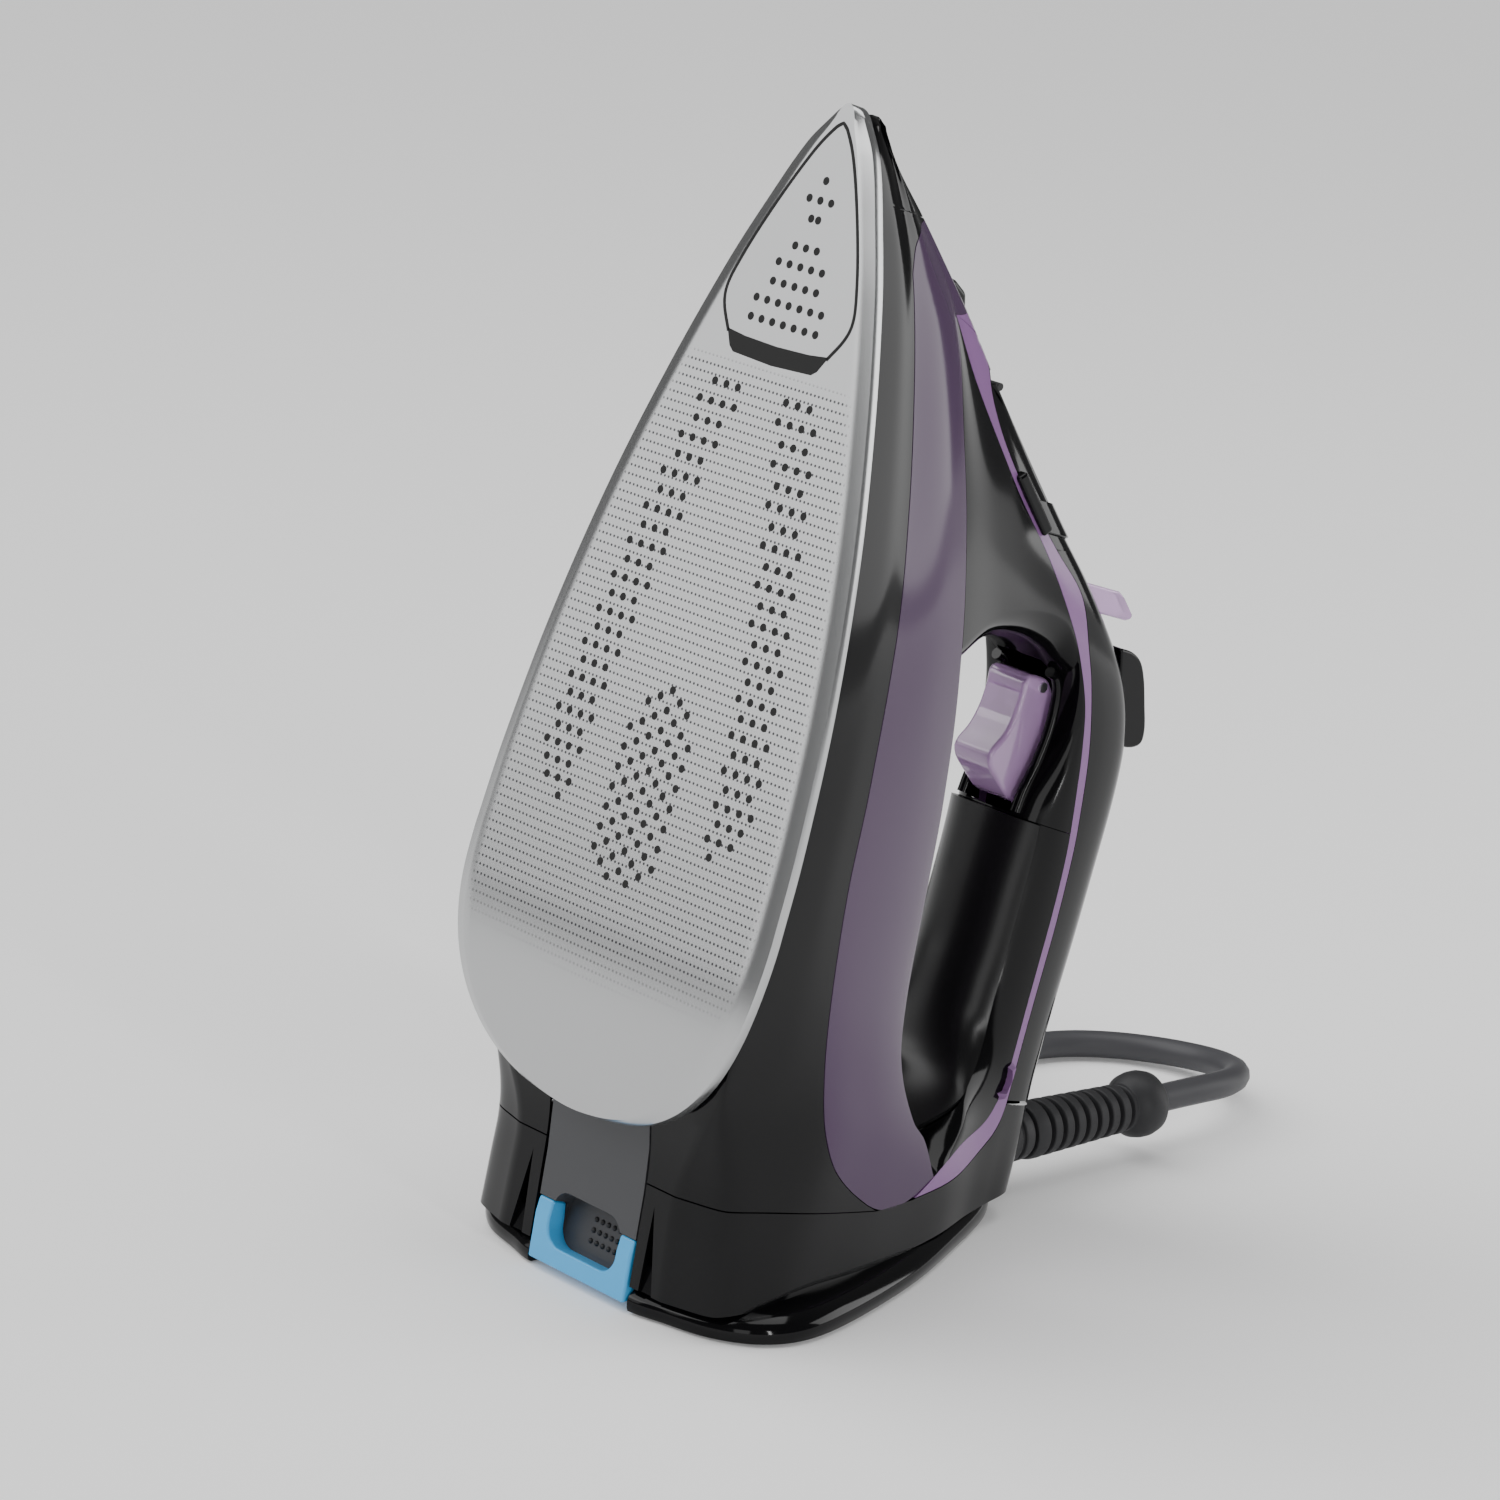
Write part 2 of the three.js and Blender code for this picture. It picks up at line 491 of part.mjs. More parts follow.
const nozzleOutline = [[33, 46], [34.5, 54], [37, 59.5], [42.5, 61.5], [44, 58], [41, 50]];
const nozzleJet = toSolid(aim(new THREE.CylinderGeometry(1.6, 1.6, 5, 14).rotateX(Math.PI / 2),
  new THREE.Vector3(0, 0.45, 0.9), at(0, 35, 55.5)));
put('spray_nozzle', biggest(prism(nozzleOutline, -5.5, 5.5).add(nozzleJet).subtract(bodyClear)), looks.black);

// ---- controls ------------------------------------------------------------------------------------
const triggerPivot = [135.5, 134];
const triggerOutline = [[131, 130], [133.3, 126], [139, 126.4], [145, 126.2], [151, 124.5], [155.5, 121.5],
  [158.2, 120.9], [161, 122.5], [164.5, 127.5], [168.5, 134], [169.5, 139], [167, 146], [158, 148.5],
  [147, 146.3], [139, 141.5], [133, 136.5]];
const springBore = toSolid(new THREE.CylinderGeometry(4.5, 4.5, 20, 20).translate(0, 145.5,
  noseHeight - 160));
put('steam_trigger', prism(triggerOutline, -triggerHalf, triggerHalf)
  .subtract(prismCylinder(triggerPivot, 1.9, 40)).subtract(springBore), looks.lilac);
put('trigger_pin', toGeometry(prismCylinder(triggerPivot, 1.5, triggerHalf * 2 + 1)), looks.steel);
const springTurns = 3.5;
const helix = Array.from({ length: 43 }, (_, i) => {
  const turn = (i / 42) * springTurns * Math.PI * 2;
  return at(Math.cos(turn) * 2.6, 160 + Math.sin(turn) * 2.6, 141 + (i / 42) * 16.2);
});
put('trigger_spring', pipe(new THREE.CatmullRomCurve3(helix), 0.8, 84, 6), looks.steel);

const leverPivot = [107.5, 127];
const slopeDirection = new THREE.Vector3(0, 0.77, -0.64).normalize();
const leverPlace = at(0, ...leverPivot);
const leverHub = toSolid(aim(new THREE.CylinderGeometry(3.4, 3.4, 7, 20).rotateX(Math.PI / 2),
  slopeDirection, leverPlace));
const leverBore = toSolid(aim(new THREE.CylinderGeometry(1.7, 1.7, 20, 16).rotateX(Math.PI / 2),
  slopeDirection, leverPlace));
const leverBlade = prism([[104, 127], [111.5, 130], [111.8, 166.5], [110.5, 167.5], [105, 160.5],
  [104, 158.5]],
  -4, 4);
put('steam_lever', leverBlade.add(leverHub).subtract(leverBore), looks.lilac);
put('lever_pin', aim(new THREE.CylinderGeometry(1.4, 1.4, 9, 16).rotateX(Math.PI / 2), slopeDirection,
  leverPlace), looks.steel);

const knobShape = new THREE.Shape([[119, 160], [119.5, 166.5], [123, 171.5], [132, 176.5], [141, 181],
  [145, 181],
  [146.8, 177], [146.8, 168]].map(([s, y]) => new THREE.Vector2(y, noseHeight - s)));
const knobBevel = 2.5;
const knobHalf = 10;
const knob = new THREE.ExtrudeGeometry(knobShape,
  { depth: (knobHalf - knobBevel) * 2, bevelThickness: knobBevel,
  bevelSize: knobBevel, bevelOffset: -knobBevel, bevelSegments: 2 });
knob.applyMatrix4(new THREE.Matrix4().makeBasis(new THREE.Vector3(0, 1, 0), new THREE.Vector3(0, 0, 1),
  new THREE.Vector3(1, 0, 0))).translate(knobBevel - knobHalf, 0, 0);
const knobClear = prism([[110, 140], [118, 154.8], [150, 167], [150, 140]], -20, 20);
const stem = prism([[128, 147], [136, 147], [136, 170], [128, 170]], -5.5, 5.5);
put('spray_button', toSolid(knob).subtract(knobClear).add(stem), looks.black);

const dialAt = 220;
const deckNormal = new THREE.Vector3(0, 1, 0.155).normalize();
const dialFoot = at(0, dialAt, along(deckLine, dialAt) + deckCrown + 1.8);
put('temperature_dial', turned([[0, 1.4], [15.5, 1.4], [16.5, 3], [16.2, 8], [14.6, 9.6], [0, 9.6]],
  deckNormal,
  dialFoot, 40), looks.purple);

// ---- heel ----------------------------------------------------------------------------------------
const heelHollow = bodySolid(wall, false, 268, 340).intersect(prism([[heelSeamAt - 1, 20],
  [heelSeamAt - 1, 62],
  [284, 90], [282, 110], [274, 140], [274, 172], [345, 172], [345, 20]]));
const exitHeight = 15.3;
const backWallAt = 188.5;
const cordBoreRadius = 5.2;
const outAlongTable = new THREE.Vector3(0, Math.cos(lean), Math.sin(lean));
// a place given level with the table: x, distance along the table, height above it
const level = (x, depth, height) => new THREE.Vector3(x,
  depth * Math.cos(lean) - height * Math.sin(lean), depth * Math.sin(lean) + height * Math.cos(lean));
const cordBore = toSolid(aim(new THREE.CylinderGeometry(cordBoreRadius, cordBoreRadius, 40, 20)
  .rotateX(Math.PI / 2), outAlongTable, level(0, backWallAt - 8, exitHeight)));
const bushLength = 15;
const bushClear = toSolid(turned(disc(9.2, 30), outAlongTable, level(0, backWallAt - 2.2, exitHeight)));
put('heel_housing', biggest(region(heelRegion).subtract(heelHollow).subtract(cordBore)
  .subtract(bushClear)), looks.black);

const drawerTop = 277.6;
const trimTop = 302;
const recessFoot = 315.5;
const recessHalf = 13.5;
const drawerBlock = bodySolid(0, false, 270, 340)
  .intersect(prism([[drawerTop, 0], [340, 0], [340, 60], [drawerTop, 60]], -drawerHalf, drawerHalf))
  .subtract(belowTable(drawerFloor));
const recess = prism([[trimTop - 1, 0], [recessFoot, 0], [recessFoot, 37], [trimTop - 1, 35]], -recessHalf,
  recessHalf);
const trimZone = prism([[trimTop, 0], [340, 0], [340, 39], [trimTop, 36]]);
const trimClear = prism([[trimTop - gap, 0], [340, 0], [340, 39 + gap], [trimTop - gap, 36 + gap]]);
const trayHollow = prism([[270, 36], [300, 40], [318, 44], [318, 57], [270, 57]], -17, 17);
put('calc_drawer', biggest(drawerBlock.subtract(trimClear).subtract(recess).subtract(trayHollow)),
  looks.grey);
put('drawer_trim', biggest(drawerBlock.intersect(trimZone).subtract(recess)), looks.blue);

// ---- pieces placed level with the table ------------------------------------------------------------
const table = new THREE.Group();
table.position.y = originShift;
object.add(table);

// the flared foot: half of its outline, from the front middle to the back middle: x, depth
const footHalf = [[0, 31.6], [20.6, 31.6], [30, 34], [45, 38.5], [55.5, 47.5], [59.5, 61], [56, 82],
  [45, 116], [32.5, 144], [18, 172], [8, 182], [0, 185]];
const footMiddle = new THREE.Vector2(0, 95);
function footRing(inset, height) {
  const right = footHalf.map(([x, depth]) => {
    const p = new THREE.Vector2(x, depth).sub(footMiddle);
    p.setLength(p.length() - inset);
    return [Math.max(p.x, 0.3), p.y + footMiddle.y, height];
  });
  return [...right, ...right.map(([x, depth, h]) => [-x, depth, h]).reverse()];
}
const foot = toSolid(loft([footRing(1.6, 0), footRing(0.2, 1.4), footRing(0, 4), footRing(2.5, 6.5),
  footRing(8, rimHeight)]));
const footBay = toSolid(plainBox((drawerHalf + gap * 2) * 2, 120, 40, new THREE.Vector3(0, 5, 5)));
const bushBay = toSolid(new THREE.CylinderGeometry(9.8, 9.8, 40, 28).translate(0, backWallAt + 5,
  exitHeight));
put('heel_rim', biggest(foot.subtract(footBay).subtract(bushBay)), looks.black, table);

const outwardY = new THREE.Vector3(0, 1, 0);
put('cord_bush', turned([[5, 0], [8.9, 0], [8.9, 4], [8.4, 9], [7.6, bushLength], [5, bushLength], [5, 0]],
  outwardY, new THREE.Vector3(0, backWallAt - 1.5, exitHeight), 28), looks.rubber, table);
const guardStart = backWallAt + bushLength - 1.5 + gap;
const guardLength = 58;
put('cord_guard', turned([[0, 0], [7.3, 0], [6.3, 42], [6.3, 44.5], [9.4, 47.5], [10, 51], [9.2, 55],
  [5.6, guardLength], [0, guardLength]], outwardY, new THREE.Vector3(0, guardStart, exitHeight), 28),
looks.rubber, table);

// the lead: straight out of the guard, down to the table, round and into a coil behind the iron
const cordRadius = cordDiameter / 2;
const coilCentre = new THREE.Vector3(-122, 215, 0);
const tieThickness = 1.2;
const coilFloor = tieThickness + gap;
const coilTop = coilFloor + coilBundle;
const cordRoute = [[0, 262.3, 15.3], [0, 272, 15.3], [0, 282, 15.2], [-1, 292, 14.6], [-5, 303, 13.2],
  [-13, 314, 11], [-24, 321.5, 8.6], [-37, 324.3, 6.4], [-50, 321.5, 5], [-61, 314, 4.4], [-69, 303, 4.25],
  [-73, 291, 4.25], [-74, 279, 4.25], [-74, 268, 4.25], [-74, 258.5, 4.25]];
const tailRoute = [[24, -41.6, 32.1], [10, -47, 32.2], [-6, -47.6, 32.8], [-21, -43.2, 34.5],
  [-33, -35, 37.5], [-41, -24, 41.2], [-44, -13, 45], [-44, -4.8, 45.3]];
const cordPipe = (route, steps) => pipe(new THREE.CatmullRomCurve3(route.map((p) => new THREE.Vector3(...p)),
  false, 'centripetal'), cordDiameter, steps, 10);
put('cord', cordPipe(cordRoute.map(([x, y, z]) => [x, y, Math.max(z, cordRadius)]), 22), looks.rubber, table);
put('cord_tail', cordPipe(tailRoute, 10).translate(coilCentre.x, coilCentre.y, 0), looks.rubber, table);
const bundle = coilBundle / 2;
const rim = 5;
const coilProfile = [[-bundle, rim], [-bundle, coilBundle - rim], [rim - bundle, coilBundle],
  [bundle - rim, coilBundle], [bundle, coilBundle - rim], [bundle, rim], [bundle - rim, 0], [rim - bundle, 0],
  [-bundle, rim]].map(([r, h]) => new THREE.Vector2(coilTurnRadius + r, coilFloor + h));
put('cord_coil', outward(toGeometry(toSolid(new THREE.LatheGeometry(coilProfile, 48).rotateX(Math.PI / 2)
  .translate(coilCentre.x, coilCentre.y, 0)))), looks.rubber, table);
const tieWidth = 9;
const tieBlock = (grow) => toSolid(plainBox(tieWidth + (grow ? 0 : 10), coilBundle + gap * 2 + grow * 2,
  coilBundle + gap * 2 + grow * 2, new THREE.Vector3(coilCentre.x, coilCentre.y + coilTurnRadius,
    coilFloor + coilBundle / 2)));
put('cord_tie', tieBlock(tieThickness).subtract(tieBlock(0)), looks.matt, table);

const plugRadius = 17.5;
const plugPlace = new THREE.Vector3(coilCentre.x - 44, coilCentre.y - 4, coilTop + gap + plugRadius);
put('plug_body', turned([[0, 0], [6, 0], [7, 12], [10, 20], [16, 26], [plugRadius, 29], [plugRadius, 44],
  [0, 44]], outwardY, plugPlace, 32), looks.matt, table);
for (const side of [-1, 1]) {
  put(`plug_pin_${side < 0 ? 'left' : 'right'}`, turned([[0, 0], [2.4, 0], [2.4, 17], [1.4, 19], [0, 19]],
    outwardY, new THREE.Vector3(plugPlace.x + side * 9.5, plugPlace.y + 44 + gap, plugPlace.z), 16),
  looks.steel, table);
}

object.updateMatrixWorld(true);
export default object;
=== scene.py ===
import math

import bmesh
import bpy
import numpy as np
from mathutils import Matrix, Vector

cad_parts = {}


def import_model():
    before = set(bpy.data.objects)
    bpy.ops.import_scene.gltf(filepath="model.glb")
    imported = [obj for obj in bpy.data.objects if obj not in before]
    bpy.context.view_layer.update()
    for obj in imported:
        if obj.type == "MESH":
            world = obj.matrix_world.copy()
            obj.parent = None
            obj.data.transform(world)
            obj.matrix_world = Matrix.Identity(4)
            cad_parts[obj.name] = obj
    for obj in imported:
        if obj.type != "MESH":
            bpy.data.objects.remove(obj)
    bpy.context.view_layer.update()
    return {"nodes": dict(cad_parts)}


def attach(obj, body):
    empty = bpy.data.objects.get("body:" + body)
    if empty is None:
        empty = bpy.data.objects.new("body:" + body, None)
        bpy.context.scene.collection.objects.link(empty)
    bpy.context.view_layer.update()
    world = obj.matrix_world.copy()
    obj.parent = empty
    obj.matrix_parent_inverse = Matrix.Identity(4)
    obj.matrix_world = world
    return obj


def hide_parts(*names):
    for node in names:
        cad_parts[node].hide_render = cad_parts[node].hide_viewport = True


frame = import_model()

# The iron's own frame, in millimetres: x across, s back from the nose tip along the soleplate and
# y away from the soleplate's face. The iron leans back on its heel.
LEAN = math.radians(15)
NOSE_HEIGHT = 331.0
ORIGIN_SHIFT = -123.0
COS, SIN = math.cos(LEAN), math.sin(LEAN)
SEAM = 0.22                 # each edge of a shell stays this far from the seam line
WALL = 2.0
THIN_WALL = 0.7             # where the nose is too narrow for a full wall
IRON = "iron"

PLATE_THICKNESS = 5.0
PLATE_HALF_WIDTH = 58.7
PLATE_WIDEST_AT = 212.0
PLATE_LENGTH = 274.0
PLATE_BEND_START = 222.0
PLATE_BEND_RADIUS = 165.0
PLATE_EDGE = [(3, 5.4), (12, 12.3), (30, 20.7), (48, 28), (78, 37.8), (113, 47), (152, 54), (188, 57.7),
              (PLATE_WIDEST_AT, PLATE_HALF_WIDTH)]

# side view lines of the body: s, y
TOP_LINE = [(0, 8), (2.5, 13), (12, 20), (22, 33), (34, 48), (45, 62), (58, 78), (80, 107), (93, 124),
            (103, 138), (118, 156), (130, 167), (143, 173.5), (157, 176), (180, 177), (215, 178),
            (340, 178)]
HOUSING_LINE = [(0, 9.5), (12, 15), (34, 20.5), (48, 22), (70, 24), (95, 26), (126, 27.5), (169, 28.5),
                (196, 30), (225, 36), (247, 45.5), (262, 54), (272, 65), (280, 84), (281.5, 95),
                (279, 106), (272, 118)]
DECK_LINE = [(44, 47), (70, 49.5), (95, 55.5), (126, 62.5), (150, 68), (169, 71), (196, 74.5), (225, 79),
             (240, 84), (256, 98), (262, 108), (272, 118)]
BAND_INNER = [(44, 47), (60, 61), (80, 84), (99, 108.5), (117, 127), (127, 134.5), (137, 140.5),
              (147, 144), (158, 147), (181, 152), (208, 154.3), (243, 155), (252, 152), (258, 146),
              (264, 132), (272, 118)]
BAND_OUTER = [(49.5, 67.5), (62, 71), (76.5, 84), (97, 113), (107.6, 129), (121, 136), (132, 141.5),
              (149, 148), (166, 152.2), (181, 155), (207, 157.3), (245, 158), (256, 156), (263, 150),
              (272, 134), (279, 106)]
LOOP_FRONT = [(137, 66), (129, 82), (126, 104), (127, 122), (132, 136)]
LOOP_ROOF = [(132, 136), (137, 137.4), (146, 138), (156, 136.6), (166, 134.3), (172, 134)]
LOOP_REAR = [(172, 134), (190, 134.8), (215, 135.5), (244, 133), (252, 123), (254.5, 112), (252, 102),
             (247, 97.3)]
BEZEL_FRONT = [(128, 63), (119.5, 82), (115, 104), (115.5, 122), (122, 131)]
HEEL_SEAM_LOW = 287.0
HEEL_SEAM_HIGH = (281.6, 90.0)
HEEL_TOP_AT = 252.0
NOSE_CAP_END = 22.0
TIP_AT = 0.8                # where the shells start
TIP_ROUND = 3.0             # where they reach their full section
NOSE_SEAM = [(NOSE_CAP_END, 33), (25, 27.5), (30, 23.3), (37, 21.2)]
DRAWER_HALF = 19.4
BAY_HALF = 20.3
BAY_TOP = 265.0
COVER_START = 49.5
COVER_END = 97.0
RIDGE_SEAM_AT = 40.4
DECK_CROWN = 9.0
RIM_HEIGHT = 9.0

# half-widths of the body: s, low edge y, low, housing line, deck line, deck y, waist, shoulder
STATIONS = np.array([
    (1.5, 6, 1.6, 1.5, 1.3, 10, 1.2, 1.1),
    (12, 6.2, 9.8, 7.6, 6.6, 17, 6, 5.4),
    (34, 6.2, 19.6, 17.8, 13, 37, 11.5, 10),
    (48, 6.2, 25.4, 23.5, 18.5, 44, 15, 12.5),
    (70, 6.2, 32.5, 30.5, 26, 48.5, 20, 14.5),
    (95, 6.2, 39.6, 37.4, 32, 54.5, 24, 16),
    (126, 6.2, 46.8, 44.8, 37, 61.5, 26, 17.5),
    (169, 6.2, 53.3, 51, 40, 70, 25, 18.5),
    (196, 6.2, 55.4, 52.8, 41, 73.5, 25, 18.5),
    (225, 6.3, 55.4, 53, 41.5, 78, 26, 18.5),
    (247, 9, 50.5, 50.5, 40.5, 88, 28, 19.5),
    (262, 15, 46.5, 49.5, 38.5, 103, 31, 21.5),
    (280, 22, 46, 48.5, 38.5, 108, 33, 23),
    (300, 26, 47, 49.5, 39.5, 110, 34, 24),
    (340, 33, 49, 51.5, 41, 112, 35, 25)], dtype=float)


def new_object(name, data):
    """A new object in the scene, from its data."""
    obj = bpy.data.objects.new(name, data)
    bpy.context.scene.collection.objects.link(obj)
    return obj


# ---- camera ----
CAMERA_PLACE = (0.9117, -0.9573, 0.5011)
CAMERA_RIGHT = (0.6815, 0.7242, 0.1050)
CAMERA_UP = (-0.2641, 0.1096, 0.9583)


def make_camera():
    data = bpy.data.cameras.new("camera")
    data.lens, data.sensor_width = 120.0, 36.0
    data.clip_start, data.clip_end = 0.05, 20.0
    camera = new_object("camera", data)
    right, up = Vector(CAMERA_RIGHT), Vector(CAMERA_UP)
    back = right.cross(up).normalized()
    up = back.cross(right).normalized()
    turn = Matrix((right.normalized(), up, back)).transposed()
    camera.matrix_world = Matrix.Translation(CAMERA_PLACE) @ turn.to_4x4()
    bpy.context.scene.camera = camera


make_camera()


# ---- finishes ----
def finish(name, color, roughness, metallic=0.0, coat=0.0, transmission=0.0, ior=1.4, shine=0.5):
    made = bpy.data.materials.new(name)
    made.use_nodes = True
    values = {"Base Color": (*color, 1), "Roughness": roughness, "Metallic": metallic, "Coat Weight": coat,
              "Coat Roughness": 0.04, "Transmission Weight": transmission, "IOR": ior,
              "Specular IOR Level": shine}
    for socket, value in values.items():
        made.node_tree.nodes["Principled BSDF"].inputs[socket].default_value = value
    return made


GLOSS_BLACK = finish("gloss_black", (0.0025, 0.0025, 0.003), 0.09, shine=0.3)
SATIN_BLACK = finish("satin_black", (0.006, 0.006, 0.0065), 0.27, shine=0.45)
MATT_BLACK = finish("matt_black", (0.014, 0.014, 0.015), 0.5)
# painted shade: the steam holes' discs take this black for the shade inside each hole; the tip inlay's
# lines and band take it as their own black
HOLE_SHADE_AND_INLAY_BLACK = finish("hole_shade_and_inlay_black", (0.006, 0.006, 0.006), 0.7)
TANK = finish("tank_purple", (0.070, 0.038, 0.084), 0.13, shine=0.35)
BAND = finish("band_purple", (0.25, 0.12, 0.295), 0.15, shine=0.4)
# the tank's purple made lighter: painted highlight on the tank's upper facet, along the deck line
TANK_FACET_HIGHLIGHT = finish("tank_facet_painted_highlight", (0.17, 0.095, 0.20), 0.12, shine=0.4)
LILAC = finish("clear_lilac", (0.72, 0.46, 0.80), 0.05, coat=0.6, transmission=0.5, ior=1.49)
DIAL = finish("dial_purple", (0.05, 0.028, 0.06), 0.25)
GREY = finish("drawer_grey", (0.045, 0.046, 0.05), 0.3)
BLUE = finish("trim_blue", (0.055, 0.37, 0.72), 0.32)
RUBBER = finish("rubber", (0.022, 0.022, 0.024), 0.55)
CORD = finish("cord_grey", (0.05, 0.05, 0.055), 0.5)
STEEL = finish("steel", (0.6, 0.6, 0.62), 0.28, metallic=1.0)
BRASS = finish("brass", (0.6, 0.42, 0.18), 0.3, metallic=1.0)
CAST = finish("cast_aluminium", (0.5, 0.5, 0.51), 0.5, metallic=1.0)
CERAMIC = finish("ceramic", (0.75, 0.73, 0.68), 0.6)


# ---- making pieces ----
def world(points):
    """Places given as x, s, y in the iron's frame, in millimetres, as metres in the shared frame."""
    p = np.asarray(points, dtype=float)
    x, s, y = p[..., 0], p[..., 1], p[..., 2]
    up = NOSE_HEIGHT - s
    return np.stack([x, y * COS + up * SIN + ORIGIN_SHIFT, up * COS - y * SIN], axis=-1) / 1000


def level(points):
    """Places given as x, depth, height level with the table, in millimetres, as metres."""
    p = np.asarray(points, dtype=float)
    return (p + np.array([0, ORIGIN_SHIFT, 0])) / 1000


def add_piece(obj, material, body, replaced=()):
    obj.data.materials.clear()
    obj.data.materials.append(material)
    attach(obj, body)
    if replaced:
        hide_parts(*replaced)
    return obj


def add_black(obj, replaced=(), body=IRON):
    return add_piece(obj, GLOSS_BLACK, body, replaced)


def mesh_object(name, build):
    """A new object from a bmesh that build fills in."""
    bm = bmesh.new()
    build(bm)
    mesh = bpy.data.meshes.new(name)
    bm.to_mesh(mesh)
    bm.free()
    mesh.shade_smooth()
    return new_object(name, mesh)


def soften(obj, width, segments=3, angle=38):
    bevel = obj.modifiers.new("soft_edges", "BEVEL")
    bevel.width, bevel.segments = width / 1000, segments
    bevel.limit_method, bevel.angle_limit = "ANGLE", math.radians(angle)
    bevel.harden_normals = True
    return obj


def cut(obj, cutter):
    """Takes cutter's shape out of obj and throws cutter away."""
    change = obj.modifiers.new("cut", "BOOLEAN")
    change.object, change.operation, change.solver = cutter, "DIFFERENCE", "EXACT"
    bake(obj)
    bpy.data.objects.remove(cutter)
    return obj


def bake(obj):
    """Turns the modifiers of obj into plain mesh."""
    ready = bpy.context.evaluated_depsgraph_get()
    ready.update()
    mesh = bpy.data.meshes.new_from_object(obj.evaluated_get(ready))
    obj.modifiers.clear()
    obj.data = mesh
    mesh.shade_smooth()
    mesh.set_sharp_from_angle(angle=math.radians(40))
    return obj


def add_grid(bm, points, second_from=math.inf):
    """Faces over a grid of places; columns from second_from on take the second material."""
    rows, columns = points.shape[:2]
    verts = [[bm.verts.new(points[i, j]) for j in range(columns)] for i in range(rows)]
    for i in range(rows - 1):
        for j in range(columns - 1):
            face = bm.faces.new((verts[i][j], verts[i + 1][j], verts[i + 1][j + 1], verts[i][j + 1]))
            face.material_index = int(j >= second_from)


def close_mesh(bm, distance):
    """Joins places that meet, caps what is open and turns every face outwards."""
    bmesh.ops.remove_doubles(bm, verts=bm.verts, dist=distance)
    bmesh.ops.holes_fill(bm, edges=bm.edges)
    bmesh.ops.recalc_face_normals(bm, faces=bm.faces)


def shell(name, grids, mirrored=True, wall=WALL, edge=0.45, second_from=math.inf):
    """A moulded wall over grids of x, s, y places; its thickness goes inwards."""
    def build(bm):
        for grid in grids:
            add_grid(bm, world(grid), second_from)
            if mirrored:
                add_grid(bm, world(grid * np.array([-1, 1, 1])), second_from)
        bmesh.ops.remove_doubles(bm, verts=bm.verts, dist=3e-5)
        bmesh.ops.dissolve_degenerate(bm, edges=bm.edges, dist=1e-6)
        bmesh.ops.recalc_face_normals(bm, faces=bm.faces)
        middle = sum((v.co for v in bm.verts), Vector()) / len(bm.verts)
        facing = sum(f.normal.dot(f.calc_center_median() - middle) * f.calc_area() for f in bm.faces)
        if facing < 0:
            bmesh.ops.reverse_faces(bm, faces=bm.faces)

    obj = mesh_object(name, build)
    thick = obj.modifiers.new("wall", "SOLIDIFY")
    thick.thickness, thick.offset = wall / 1000, -1
    return soften(obj, edge) if edge else obj


def prism(name, first, last):
    """A closed solid between two outlines of matching places."""
    def build(bm):
        ends = [[bm.verts.new(place) for place in side] for side in (first, last)]
        bm.faces.new(ends[0])
        bm.faces.new(reversed(ends[1]))
        for i in range(len(first)):
            j = (i + 1) % len(first)
            bm.faces.new((ends[0][i], ends[1][i], ends[1][j], ends[0][j]))
        bmesh.ops.recalc_face_normals(bm, faces=bm.faces)

    return mesh_object(name, build)


def slab(name, outline, left, right, edge=0.0, segments=3, to_world=world):
    """A side view outline of s, y places pushed across from x = left to x = right."""
    obj = prism(name, *[[to_world((x, s, y)) for s, y in outline] for x in (left, right)])
    return soften(obj, edge, segments, angle=30) if edge else obj


def front_prism(name, outline, near, deep):
    """An x, s outline pushed in from y = near to y = deep."""
    return prism(name, *[[world((x, s, y)) for x, s in outline] for y in (near, deep)])


def turned(name, profile, foot, axis, segments=64):
    """A turned piece from a profile of radius, height places, in millimetres; foot is in metres."""
    def build(bm):
        angles = np.linspace(0, 2 * math.pi, segments + 1)
        rows = [[(r * math.cos(a), r * math.sin(a), h) for a in angles] for r, h in profile]
        add_grid(bm, np.array(rows) / 1000)
        bmesh.ops.remove_doubles(bm, verts=bm.verts, dist=1e-6)
        bmesh.ops.recalc_face_normals(bm, faces=bm.faces)
        turn = Vector((0, 0, 1)).rotation_difference(Vector(axis)).to_matrix().to_4x4()
        bmesh.ops.transform(bm, matrix=Matrix.Translation(foot) @ turn, verts=bm.verts)

    return soften(mesh_object(name, build), 0.4, 2, angle=30)


def rod(name, places, radius):
    """A round rod along places in metres, its radius in millimetres."""
    data = bpy.data.curves.new(name, "CURVE")
    data.dimensions = "3D"
    data.bevel_depth = radius / 1000
    data.use_fill_caps = True
    spline = data.splines.new("POLY")
    spline.points.add(len(places) - 1)
    spline.points.foreach_set("co", np.concatenate([places, np.ones((len(places), 1))], axis=1).ravel())
    return new_object(name, data)


# ---- lines and the body's surface ----
def along(rows, s):
    """Smooth values of a table of s, value rows."""
    rows = np.asarray(rows, dtype=float)
    x, y = rows[:, 0], rows[:, 1]
    secant = np.diff(y) / np.diff(x)
    slope = np.concatenate([[secant[0]], (y[2:] - y[:-2]) / (x[2:] - x[:-2]), [secant[-1]]])
    s = np.clip(np.asarray(s, dtype=float), x[0], x[-1])
    i = np.clip(np.searchsorted(x, s, side="right") - 1, 0, len(x) - 2)
    width = x[i + 1] - x[i]
    t = (s - x[i]) / width
    h = 1 - t
    return (h * h * (1 + 2 * t) * y[i] + t * t * (3 - 2 * t) * y[i + 1]
            + width * (t * h * h * slope[i] - t * t * h * slope[i + 1]))


def distances(p):
    """How far each place of a line is from its start, along the line."""
    return np.concatenate([[0], np.cumsum(np.linalg.norm(np.diff(p, axis=0), axis=1))])


